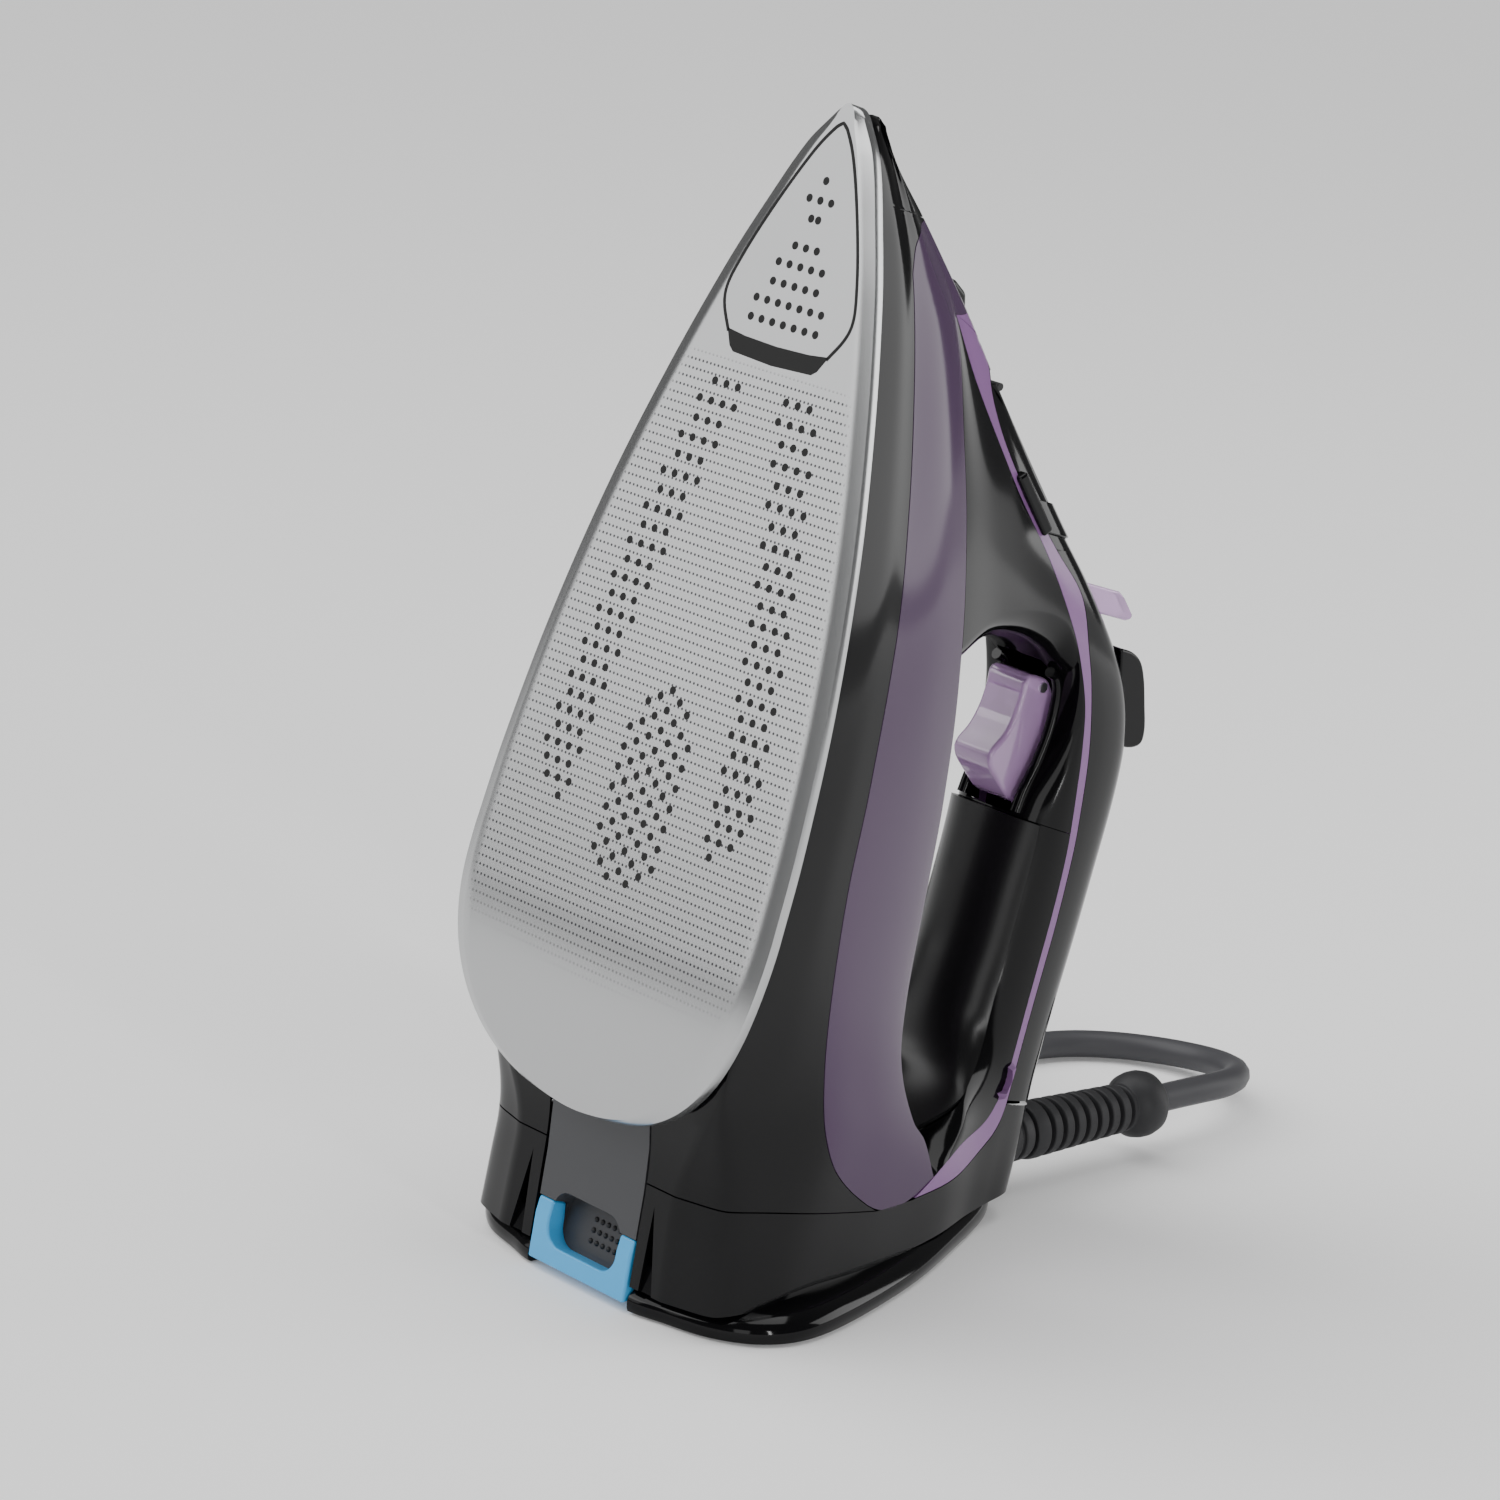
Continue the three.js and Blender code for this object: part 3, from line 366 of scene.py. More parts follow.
def curve(points, count):
    """count evenly spaced places along a smooth line through points."""
    samples_per_point = 60
    p = np.asarray(points, dtype=float)
    knots = np.concatenate([[0], np.cumsum(np.sqrt(np.linalg.norm(np.diff(p, axis=0), axis=1)))])
    dense = np.linspace(0, knots[-1], samples_per_point * len(p))
    line = np.stack([along(np.stack([knots, part], axis=1), dense) for part in p.T], axis=1)
    reach = distances(line)
    even = np.linspace(0, reach[-1], count)
    return np.stack([np.interp(even, reach, line[:, k]) for k in range(p.shape[1])], axis=1)


def smooth_step(value, low, high):
    t = np.clip((value - low) / (high - low), 0, 1)
    return t * t * (3 - 2 * t)


def section_levels(s):
    """The body's section at stations s: y and half-width at each of its levels."""
    low_y, low, band, deck, deck_y, waist, shoulder = [
        along(STATIONS[:, [0, k]], s) for k in range(1, 8)]
    band_y = np.minimum(along(HOUSING_LINE[:12], s), 60)
    top = along(TOP_LINE, s)
    rise = top - deck_y
    turn = smooth_step(s, 250, 292)
    y = [low_y, low_y + 0.5 + turn * 5, (low_y + band_y) / 2, band_y, (band_y + deck_y) / 2, deck_y,
         deck_y + rise * 0.3, deck_y + rise * 0.55, top - np.minimum(20, rise * 0.32),
         top - np.minimum(8, rise * 0.14), top - np.minimum(2, rise * 0.04), top, top + 0.2]
    x = [low - 0.4 - turn * 15, low, (low + band) / 2 + 0.6, band, (band + deck) / 2 + 1, deck, waist,
         waist * 0.35 + shoulder * 0.65, shoulder, shoulder * 0.84, shoulder * 0.52, shoulder * 0.2,
         np.zeros_like(s)]
    return np.stack(y, axis=1), np.stack(x, axis=1)


def between_levels(values, steps):
    """A monotone smooth curve through each row of values, with steps samples per level."""
    d = np.diff(values, axis=1)
    product, total = d[:, 1:] * d[:, :-1], d[:, 1:] + d[:, :-1]
    inner = np.where(product > 0, 2 * product / np.where(total == 0, 1, total), 0)
    slope = np.concatenate([d[:, :1], inner, d[:, -1:]], axis=1)
    parts = []
    for k in range(values.shape[1] - 1):
        t = np.linspace(0, 1, steps + 1)[None, :-1]
        h = 1 - t
        start, end = values[:, k:k + 1], values[:, k + 1:k + 2]
        parts.append(h * h * (1 + 2 * t) * start + t * t * (3 - 2 * t) * end
                     + t * h * h * slope[:, k:k + 1] - t * t * h * slope[:, k + 1:k + 2])
    return np.concatenate([*parts, values[:, -1:]], axis=1)


def relaxed(grid, axis, rounds):
    """grid with its kinks smoothed along one axis; the first and last rows stay."""
    grid = np.moveaxis(grid.copy(), axis, 0)
    for _ in range(rounds):
        grid[1:-1] = 0.25 * grid[:-2] + 0.5 * grid[1:-1] + 0.25 * grid[2:]
    return np.moveaxis(grid, 0, axis)


def body_surface():
    """Stations, section places from 0 at the low edge to 1 on the ridge, and their y and half-width."""
    steps_per_level, rounds_across, rounds_along = 16, 10, 6
    last = STATIONS[-1, 0]
    s = np.concatenate([np.linspace(TIP_AT, TIP_ROUND, 8)[:-1], np.arange(TIP_ROUND, last + 0.5, 1.0)])
    y, x = (between_levels(v, steps_per_level) for v in section_levels(np.maximum(s, TIP_ROUND)))
    y, x = (relaxed(relaxed(v, 1, rounds_across), 0, rounds_along) for v in (y, x))
    closing = np.sqrt(np.clip((s - TIP_AT) / (TIP_ROUND - TIP_AT), 0, 1))[:, None]
    middle = y.mean(axis=1, keepdims=True)
    y = middle + (y - middle) * (0.35 + 0.65 * closing)
    return s, np.linspace(0, 1, y.shape[1]), y, x * closing


BODY_S, BODY_V, BODY_Y, BODY_X = body_surface()


def on_body(s, v):
    """Places x, s, y on the body's right side."""
    s, v = np.broadcast_arrays(np.asarray(s, dtype=float), np.asarray(v, dtype=float))
    i = np.clip(np.searchsorted(BODY_S, s, side="right") - 1, 0, len(BODY_S) - 2)
    j = np.clip((v * (len(BODY_V) - 1)).astype(int), 0, len(BODY_V) - 2)
    a = np.clip((s - BODY_S[i]) / (BODY_S[i + 1] - BODY_S[i]), 0, 1)
    b = np.clip(v * (len(BODY_V) - 1) - j, 0, 1)

    def mix(g):
        before = (1 - b) * g[i, j] + b * g[i, j + 1]
        after = (1 - b) * g[i + 1, j] + b * g[i + 1, j + 1]
        return (1 - a) * before + a * after

    return np.stack([mix(BODY_X), s, mix(BODY_Y)], axis=-1)


def section_place(s, y):
    """Where on its section the body has height y at station s."""
    found = []
    for one_s, one_y in zip(np.atleast_1d(s), np.atleast_1d(y)):
        heights = np.maximum.accumulate(on_body(np.full_like(BODY_V, one_s), BODY_V)[:, 2])
        found.append(np.interp(one_y, heights, BODY_V))
    return np.array(found)


def pairs(first, second):
    """Rows of two values; either may be one number for all rows."""
    return np.stack(np.broadcast_arrays(first, second), axis=1)


def border(points):
    """Side view places as s, v pairs on the body."""
    s, y = np.asarray(points, dtype=float).T
    return pairs(s, section_place(s, y))


def ridge(start, end, count):
    return pairs(np.linspace(start, end, count), 1.0)


def ruled(low, high, across):
    """The body's surface between two borders of s, v pairs, as a grid of x, s, y places.

    across is a number of columns, or how far across each column lies at each row."""
    u = np.linspace(0, 1, across)[None, :] if isinstance(across, int) else across
    s = low[:, :1] * (1 - u) + high[:, :1] * u
    v = low[:, 1:] * (1 - u) + high[:, 1:] * u
    return on_body(s, v)


def part_at(grid, rows=(0, -1), columns=(0, -1), by=SEAM):
    """Draws the named border rows and columns of grid back from the seam."""
    grid = grid.copy()
    for axis, picks in ((0, rows), (1, columns)):
        view = np.moveaxis(grid, axis, 0)
        for pick in picks:
            inward = view[1 if pick == 0 else -2] - view[pick]
            size = np.linalg.norm(inward, axis=-1, keepdims=True)
            direction = np.where(size > 1e-6, inward / np.maximum(size, 1e-6), 0)
            view[pick] += direction * np.minimum(by, size * 0.9)
    return grid


def split_at(line, s):
    """The index of the first place on a side view line past station s."""
    return int(np.argmax(line[:, 0] > s))


# ---- the cord ----
CORD_DIAMETER = 8.5
COIL_CENTRE = (-122.0, 215.0)
COIL_RADIUS = 48.0
COIL_FLOOR = 1.5
GUARD_HEIGHT = 15.3
CORD_ROUTE = [(0, 262.3, GUARD_HEIGHT), (0, 272, GUARD_HEIGHT), (0, 282, 15.2), (-1, 292, 14.6),
              (-5, 303, 13.2), (-13, 314, 11), (-24, 321.5, 8.6), (-37, 324.3, 6.4), (-50, 321.5, 5),
              (-61, 314, 4.4), (-69, 303, 4.25), (-73, 291, 4.25), (-74, 279, 4.25), (-74, 268, 4.25),
              (-74, 258.5, 4.25)]
LEAD_IN = [(-74, 240, 4.6), (-74, 226, 5.3)]
COIL_TURNS = 7 + 55 / 360
TAIL_ROUTE = [(24, -41.6, 32.1), (10, -47, 32.2), (-6, -47.6, 32.8), (-21, -43.2, 34.5), (-33, -35, 37.5),
              (-41, -24, 41.2), (-44, -13, 45), (-44, -4.8, 45.3)]


def coil_turns(turns_total):
    """The coil's places: whole turns stacked three across and three high, wound clockwise."""
    pitch = CORD_DIAMETER + 0.15
    low = COIL_FLOOR + CORD_DIAMETER / 2
    slots = [(0, 0), (1, 0), (1, 1), (0, 1), (-1, 1), (-1, 2), (0, 2), (0, 3.05)]
    places = []
    for angle in np.arange(0.0, 360 * turns_total, 15):
        turn = angle / 360
        k = min(int(turn), len(slots) - 2)
        blend = float(smooth_step(turn - k, 0.80, 1.0))
        across = slots[k][0] * (1 - blend) + slots[k + 1][0] * blend
        high = slots[k][1] * (1 - blend) + slots[k + 1][1] * blend
        radius = COIL_RADIUS + across * pitch
        a = -math.radians(angle)
        places.append((COIL_CENTRE[0] + radius * math.cos(a), COIL_CENTRE[1] + radius * math.sin(a),
                       low + high * pitch))
    return places


def make_cord():
    coil = coil_turns(COIL_TURNS)
    tail = [(COIL_CENTRE[0] + x, COIL_CENTRE[1] + y, z) for x, y, z in TAIL_ROUTE]
    places = curve(level(CORD_ROUTE + LEAD_IN + coil + tail), 900)
    cord = rod("mains_cord", places, CORD_DIAMETER / 2)
    add_piece(cord, CORD, IRON, ["cord", "cord_tail", "cord_coil"])
    return cord, places


def make_plug():
    """The moulded plug that lies on the coil."""
    coil_height, radius = 26.3, 17.5
    foot = level((COIL_CENTRE[0] - 44, COIL_CENTRE[1] - 4, COIL_FLOOR + coil_height + radius))
    profile = [(0, 0), (5.6, 0), (6.2, 3), (6.4, 7), (7.2, 12), (10, 19), (14.5, 24), (17, 28.5),
               (radius, 31), (radius, 42), (16.6, 44), (0, 44)]
    plug = turned("plug_cover", profile, foot, (0, 1, 0))
    return add_piece(plug, MATT_BLACK, IRON, ["plug_body"])


CORD_PIECE, CORD_PATH = make_cord()
PLUG = make_plug()


# ---- cord guard ----
def make_guard():
    start, length = 202.3, 58.0
    profile = [(0, 0), (8.2, 0)]
    ribs, rib_start, rib_end = 8, 2.0, 43.0
    for k in range(ribs):
        h = rib_start + (rib_end - rib_start) * k / ribs
        step = (rib_end - rib_start) / ribs
        r = 8.6 - 1.3 * k / ribs
        profile += [(r, h), (r, h + step * 0.6), (r - 2.1, h + step * 0.66), (r - 2.1, h + step * 0.94)]
    profile += [(7, 43.2), (7, 44.4), (8.2, 45.4), (9.5, 47.4), (10, 50), (10, 52.3), (9.3, 55),
                (7.6, 57), (5.2, length), (0, length)]
    guard = turned("ribbed_guard", profile, level((0, start, GUARD_HEIGHT)), (0, 1, 0))
    return add_piece(guard, RUBBER, "cord_guard", ["cord_guard"])


def make_bush():
    start = 187.0
    profile = [(4.6, 0), (8.9, 0), (9.0, 3), (8.6, 6), (8.5, 8.4), (7.2, 8.8), (7.2, 10), (8.2, 10.4),
               (8.0, 13.6), (7.4, 14.8), (4.6, 14.8)]
    bush = turned("swivel_bush", profile, level((0, start, GUARD_HEIGHT)), (0, 1, 0))
    add_piece(bush, RUBBER, IRON, ["cord_bush"])


GUARD = make_guard()
make_bush()


# ---- soleplate ----
def plate_half(s):
    s = np.asarray(s, dtype=float)
    tail = np.clip((s - PLATE_WIDEST_AT) / (PLATE_LENGTH - PLATE_WIDEST_AT), 0, 1)
    squareness = 2.45
    rear = PLATE_HALF_WIDTH * (1 - tail ** squareness) ** (1 / squareness)
    tip_end = PLATE_EDGE[0][0]
    tip = np.clip(s, 0, tip_end)
    nose = 3.568 * np.sqrt(tip) - 0.26 * tip
    return np.where(s < tip_end, nose, np.where(s > PLATE_WIDEST_AT, rear, along(PLATE_EDGE, s)))


def plate_bend(s):
    return np.clip(np.asarray(s, dtype=float) - PLATE_BEND_START, 0, None) ** 2 / (2 * PLATE_BEND_RADIUS)


PLATE_GREY = (0.47, 0.475, 0.48)
# dark grey of the dimple dots: painted shade in the soleplate's dimples
DIMPLE_SHADE_GREY = (0.08, 0.08, 0.085)
DIMPLE_RADIUS = 0.00038     # in metres, as are the pitches
DIMPLE_PITCH_ACROSS, DIMPLE_PITCH_BACK = 0.00147, 0.00245
DIMPLES_START, DIMPLES_END = 73, 228


def plate_metal():
    """Satin metal with rows of fine dimples across the flat of the soleplate, each drawn as a dark dot of
    painted shade standing in for the shade inside it.
    """
    made = finish("soleplate_metal", PLATE_GREY, 0.25, metallic=1.0)
    nodes, links = made.node_tree.nodes, made.node_tree.links
    shader = nodes["Principled BSDF"]
    place = nodes.new("ShaderNodeTexCoord")

    def maths(operation, a, b=None):
        node = nodes.new("ShaderNodeMath")
        node.operation = operation
        for socket, value in zip(node.inputs, (a, b)):
            if isinstance(value, (int, float)):
                socket.default_value = value
            elif value is not None:
                links.new(value, socket)
        return node.outputs[0]

    def distance_along(direction):
        node = nodes.new("ShaderNodeVectorMath")
        node.operation = "DOT_PRODUCT"
        node.inputs[1].default_value = direction
        links.new(place.outputs["Object"], node.inputs[0])
        return node.outputs["Value"]

    def cell(value, pitch):
        """How far value is from the middle of its cell, in metres."""
        part = maths("FRACT", maths("ADD", maths("DIVIDE", value, pitch), 1000.0))
        return maths("MULTIPLY", maths("SUBTRACT", part, 0.5), pitch)

    across = cell(distance_along((1, 0, 0)), DIMPLE_PITCH_ACROSS)
    back = cell(distance_along((0, SIN, COS)), DIMPLE_PITCH_BACK)
    reach = maths("SQRT", maths("ADD", maths("POWER", across, 2.0), maths("POWER", back, 2.0)))
    dot = maths("LESS_THAN", reach, DIMPLE_RADIUS)
    area = nodes.new("ShaderNodeAttribute")
    area.attribute_name = "dimple_shade_area"
    shown = maths("MULTIPLY", dot, area.outputs["Fac"])
    color = nodes.new("ShaderNodeMix")
    color.data_type = "RGBA"
    color.inputs["A"].default_value = (*PLATE_GREY, 1)
    color.inputs["B"].default_value = (*DIMPLE_SHADE_GREY, 1)
    links.new(shown, color.inputs["Factor"])
    links.new(color.outputs["Result"], shader.inputs["Base Color"])
    return made


def plate_stations():
    """Stations along the plate, closer together at both ends."""
    tail_length = 12
    tip = np.array([0.02, 0.15, 0.4, 0.8, 1.4, 2.2, 3, 4, 5])
    tail = PLATE_LENGTH - tail_length * (1 - np.sin(np.linspace(0, math.pi / 2, 24))) ** 1.5
    s = np.concatenate([tip, np.arange(6, 20, 1.0), np.arange(20, PLATE_LENGTH - tail_length, 2.0), tail])
    return np.unique(np.clip(s, tip[0], PLATE_LENGTH - 0.01))


def make_soleplate():
    s = plate_stations()
    half, bend = plate_half(s), plate_bend(s)
    full_bevel, share, sharpness = 4.6, 0.45, 6
    bevel = (full_bevel ** -sharpness + (half * share) ** -sharpness) ** (-1 / sharpness)
    flat = np.linspace(-1, 1, 41)
    low_x = (half - bevel)[:, None] * flat[None, :]
    edge = [(0.72, 0.55), (0.2, 1.5), (0.0, 2.3), (0.0, 3.2), (0.25, 4.6), (0.7, PLATE_THICKNESS)]
    rim_x = np.stack([half - bevel * f if f > 0.3 else half - f for f, _ in edge], axis=1)
    rim_y = np.stack([bend + h for _, h in edge], axis=1)
    x = np.concatenate([-rim_x[:, ::-1], low_x, rim_x], axis=1)
    y = np.concatenate([rim_y[:, ::-1], np.repeat(bend[:, None], len(flat), axis=1), rim_y], axis=1)
    grid = np.stack([x, np.repeat(s[:, None], x.shape[1], axis=1), y], axis=-1)

    def build(bm):
        add_grid(bm, world(grid))
        add_grid(bm, world(grid[:, [0, -1]]))
        close_mesh(bm, 2e-6)

    plate = mesh_object("plate", build)
    # the area where the dimples' painted shade shows, stored on the plate as an attribute
    places = np.array([v.co for v in plate.data.vertices]) * 1000
    back = NOSE_HEIGHT - ((places[:, 1] - ORIGIN_SHIFT) * SIN + places[:, 2] * COS)
    inside = smooth_step(plate_half(back) - np.abs(places[:, 0]), 6.0, 6.6)
    fade = smooth_step(back + 0.10 * np.abs(places[:, 0]), DIMPLES_END, DIMPLES_END + 15)
    reach = smooth_step(back, DIMPLES_START, DIMPLES_START + 1) * (1 - fade)
    area = plate.data.attributes.new("dimple_shade_area", "FLOAT", "POINT")
    area.data.foreach_set("value", inside * reach)
    bake(plate)
    add_piece(plate, plate_metal(), IRON, ["soleplate"])


def hole_places():
    """The steam holes of the soleplate as x, s pairs."""
    places = []
    tip_rows = ((21, 1), (26.3, 3), (31.4, 2), (39.2, 3), (44.3, 5), (49.6, 5), (54.8, 7), (60, 7))
    for s, count in tip_rows:
        pitch = 2.6 if count == 2 else 4.07
        places += [((k - (count - 1) / 2) * pitch, s) for k in range(count)]
    rows = 25
    for i in range(rows):
        s = 78.9 + 5.42 * i - 0.0212 * i * i
        middle = 13.6 + 20.4 * (1 - (1 - i / (rows - 1)) ** 1.7)
        middle = {rows - 2: 31.7, rows - 1: 29.8}.get(i, middle)
        count = {rows - 3: 3, rows - 2: 3, rows - 1: 1}.get(i, 3 + i % 2)
        for side in (-1, 1):
            places += [(side * middle + (k - (count - 1) / 2) * 4.4, s) for k in range(count)]
    reach = (2, 3, 3, 3, 3, 3, 3, 3, 2, 1)
    for j, arms in enumerate(reach):
        places += [(k * 3.76, 159.5 + 5.53 * j + 2.45 * abs(k)) for k in range(-arms, arms + 1)]
    return places


HOLE_RADIUS = 1.12
HOLE_PROUD, INLAY_PROUD = 0.03, 0.035


def make_hole_shade_discs():
    """Painted shade of the steam holes: a dark disc just proud of the plate's face at each hole, standing
    in for the shade inside it.
    """
    def build(bm):
        r, angles = HOLE_RADIUS, np.linspace(0, 2 * math.pi, 17)[:-1]
        for x, s in hole_places():
            rim = [(x + r * math.cos(a), s + r * math.sin(a), -HOLE_PROUD) for a in angles]
            bm.faces.new([bm.verts.new(place) for place in world(rim)])
        bmesh.ops.recalc_face_normals(bm, faces=bm.faces)

    holes = mesh_object("steam_hole_shade_discs", build)
    add_piece(holes, HOLE_SHADE_AND_INLAY_BLACK, IRON)


def ribbon(name, line, width):
    """A thin inlaid strip along an open line of x, s places on the soleplate."""
    ahead = np.roll(line, -1, axis=0) - np.roll(line, 1, axis=0)
    ahead[0], ahead[-1] = line[1] - line[0], line[-1] - line[-2]
    normal = pairs(-ahead[:, 1], ahead[:, 0])
    normal /= np.linalg.norm(ahead, axis=1, keepdims=True)
    grid = np.stack([line - normal * width / 2, line + normal * width / 2], axis=1)
    grid = np.concatenate([grid, np.full((*grid.shape[:2], 1), -INLAY_PROUD)], axis=-1)
    strip = mesh_object(name, lambda bm: add_grid(bm, world(grid)))
    add_piece(strip, HOLE_SHADE_AND_INLAY_BLACK, IRON)


def make_tip_inlay():
    right = curve([(0, 5.4), (2.2, 7), (6.8, 13.2), (12.4, 23.7), (18, 36), (21.8, 46), (23.8, 53.6),
                   (22.9, 58.8), (18.6, 65.4)], 60)
    outline = np.concatenate([right[::-1] * np.array([-1, 1]), right[1:]])
    ribbon("tip_line", outline, 1.05)
    corners = [(-19.2, 64.6), (-12, 65.4), (0, 65.8), (12, 65.4), (19.2, 64.6), (16.6, 69), (14.8, 70.3),
               (0, 71), (-14.8, 70.3), (-16.6, 69)]
    band = mesh_object("tip_band", lambda bm: bm.faces.new(
        [bm.verts.new(world((x, s, -INLAY_PROUD))) for x, s in corners]))
    add_piece(band, HOLE_SHADE_AND_INLAY_BLACK, IRON)


make_soleplate()
make_hole_shade_discs()
make_tip_inlay()


# ---- shells ----
HOUSING = curve([(0.4, 9.7), *HOUSING_LINE[1:]], 420)
DECK = curve(DECK_LINE, 300)
INNER = curve(BAND_INNER, 320)
OUTER = curve(BAND_OUTER, 320)


def heel_seam(count):
    """The seam across each side between the lower housing and the heel, as s, v pairs."""
    high = section_place(*HEEL_SEAM_HIGH)[0]
    return np.linspace((HEEL_SEAM_LOW, 0), (HEEL_SEAM_HIGH[0], high), count)


def front_panel(corner, inner_half):
    """A flat front face from the body's low corner in to inner_half."""
    inner = corner.copy()
    inner[:, 0] = inner_half
    return np.linspace(inner, corner, 8)


def make_lower_housing():
    """The housing round the plate, with the nose cap; its low edge turns in under the plate's tail."""
    turn_in_at, front_face_from, ridge_rows = 235, 236, 40
    before_heel = int(np.argmax(HOUSING[:, 1] > HEEL_SEAM_HIGH[1] - 0.5))
    line = HOUSING[split_at(HOUSING, NOSE_SEAM[-1][0]):before_heel][::2]
    turn_in = split_at(line, turn_in_at)
    reach = distances(line[turn_in:])
    start = line[turn_in, 0]
    low_s = line[:, 0].copy()
    low_s[turn_in:] = start + (HEEL_SEAM_LOW - start) * (reach / reach[-1]) ** 1.25
    cap = np.concatenate([ridge(TIP_AT, NOSE_CAP_END, ridge_rows), cap_seam(30)[1:-1]])
    high = np.concatenate([cap, border(line)])
    high[-1] = HEEL_SEAM_HIGH[0], section_place(*HEEL_SEAM_HIGH)[0]
    low_s = np.concatenate([cap[:, 0], low_s])
    low = pairs(low_s, 0.0)
    grid = part_at(ruled(low, high, 40), rows=(-1,), columns=())
    grid[ridge_rows:] = part_at(grid[ridge_rows:], rows=(), columns=(-1,))
    corner = grid[low_s > front_face_from, 0]
    panel = front_panel(corner, np.where(corner[:, 1] > BAY_TOP, BAY_HALF, 0.0))
    obj = bake(shell("lower_shell", [grid, panel], wall=THIN_WALL, edge=0))
    add_black(obj, ["lower_housing"])


def nose_seam(count):
    """The seam from the ridge down to the deck line, as s, v pairs."""
    start, end = (RIDGE_SEAM_AT, 1.0), (DECK_LINE[0][0], section_place(*DECK_LINE[0])[0])
    return np.linspace(start, end, count)


def cap_seam(count):
    """The seam from the ridge down to the housing line behind the black nose cap, as s, v pairs."""
    seam = border(curve(NOSE_SEAM, count))
    seam[0] = NOSE_CAP_END, 1.0
    return seam


# how far up the tank's side its lower facet reaches: s, share of the height; above it the tank takes a
# lighter purple, a painted highlight
CREASE = np.array([(20, 0.02), (61, 0.42), (98, 0.56), (128, 0.84), (150, 0.965), (222, 0.965), (246, 0.9),
                   (262, 0.75), (272, 0.6)])


def make_tank():
    """The tinted tank: from the nose cap up each side as far as the deck line; the facet above the crease,
    along the deck line, is painted a lighter purple as a painted highlight.
    """
    first, middle, last = 40, 10, 190
    lower = HOUSING[split_at(HOUSING, NOSE_SEAM[-1][0]):]
    split = split_at(lower, 41)
    low = np.concatenate([cap_seam(first), border(curve(lower[:split], middle)),
                          border(curve(lower[split:], last))])
    high = np.concatenate([ridge(NOSE_CAP_END, RIDGE_SEAM_AT, first), nose_seam(middle + 2)[1:-1],
                           border(curve(DECK, last))])
    lower_columns, upper_columns = 28, 15
    crease = np.interp(np.linspace(low[0, 0], low[-1, 0], len(low)), *CREASE.T)[:, None]
    across = np.concatenate([crease * np.linspace(0, 1, lower_columns),
                             1 - (1 - crease) * np.linspace(1, 0, upper_columns)[1:]], axis=1)
    grid = ruled(low, high, across)
    obj = shell("tank_shell", [part_at(grid, rows=(), columns=(0,))], wall=THIN_WALL, edge=0.2,
                second_from=lower_columns - 1)
    add_piece(obj, TANK, IRON, ["water_tank"])
    # second slot, for the columns above the crease: the lighter purple of the painted highlight
    obj.data.materials.append(TANK_FACET_HIGHLIGHT)


def make_deck():
    start, end = 120, 248.5
    s = np.linspace(start, end, 66)
    q = np.linspace(-1, 1, 41)
    line = along(DECK_LINE, s)
    half = on_body(s, section_place(s, line))[:, 0]
    x = half[:, None] * q[None, :]
    y = line[:, None] + DECK_CROWN * (1 - q[None, :] ** 2)
    grid = np.stack([x, np.repeat(s[:, None], len(q), axis=1), y], axis=-1)
    obj = shell("deck_shell", [part_at(grid, rows=())], mirrored=False)
    add_piece(obj, TANK, IRON, ["deck_cover"])


def rolled(outer, inner, count, roundness=1.0):
    """The inside of the handle loop, from the side surface in to the middle; roundness 0 is flat."""
    side = on_body(*border(outer).T)
    turn = np.linspace(0, math.pi / 2, count)[None, :]
    flat = np.linspace(0, 1, count)[None, :]
    roundness = np.broadcast_to(roundness, len(outer))[:, None]
    across = np.cos(turn).clip(0) ** 0.85 * roundness + (1 - flat) * (1 - roundness)
    inward = np.sin(turn) ** 0.85 * roundness + flat * (1 - roundness)
    across[:, -1] = 0
    x = side[:, :1] * across
    s = outer[:, :1] * (1 - inward) + inner[:, :1] * inward
    y = outer[:, 1:] * (1 - inward) + inner[:, 1:] * inward
    return np.stack([x, s, y], axis=-1)


TRIGGER_HALF = 7.5
CHEEK_END = 172.0


def trigger_pocket():
    return slab("pocket", [(127, 116), (171.6, 116), (171.6, 152), (150, 152), (129, 139)],
                -TRIGGER_HALF - 1.3, TRIGGER_HALF + 1.3)


def make_bezel():
    """The rounded rim on each side of the trigger."""
    half, radius = 10.4, 1.7
    line = curve([(130.5, 131.5), (131.5, 134.8), (136, 137.5), (146, 138.7), (156, 137.8), (165, 135.6),
                  (171, 135)], 60)
    for x, name in ((-half, "bezel_left"), (half, "bezel_right")):
        add_black(rod(name, world([(x, s, y) for s, y in line]), radius))


def make_front_shell():
    columns, rows = 40, 110
    bezel = curve(BEZEL_FRONT, columns)
    low_end, high_end = split_at(DECK, BEZEL_FRONT[0][0]), split_at(INNER, BEZEL_FRONT[-1][0])
    low = curve(DECK[:low_end + 1:3], rows)
    high = curve(INNER[:high_end + 1:3], rows)
    plain = np.linspace(low, high, columns, axis=1)
    pull = np.linspace(0, 1, rows)[:, None, None] ** 2.5
    flat = plain + (bezel[None] - plain[-1:]) * pull
    side = on_body(*border(flat.reshape(-1, 2)).T).reshape(*flat.shape[:2], 3)
    front = rolled(side[-1, :, 1:], curve(LOOP_FRONT, columns), 22)
    roof_out = curve(INNER[high_end:split_at(INNER, CHEEK_END) + 1:3], 40)
    roof_out[0] = side[-1, -1, 1:]
    roof = rolled(roof_out, curve(LOOP_ROOF, 40), 22)
    obj = shell("front_cheeks", [part_at(side, rows=(), columns=(0, -1)), front, roof], edge=0)
    bake(obj)
    cut(obj, trigger_pocket())
    add_black(obj, ["front_shell"])


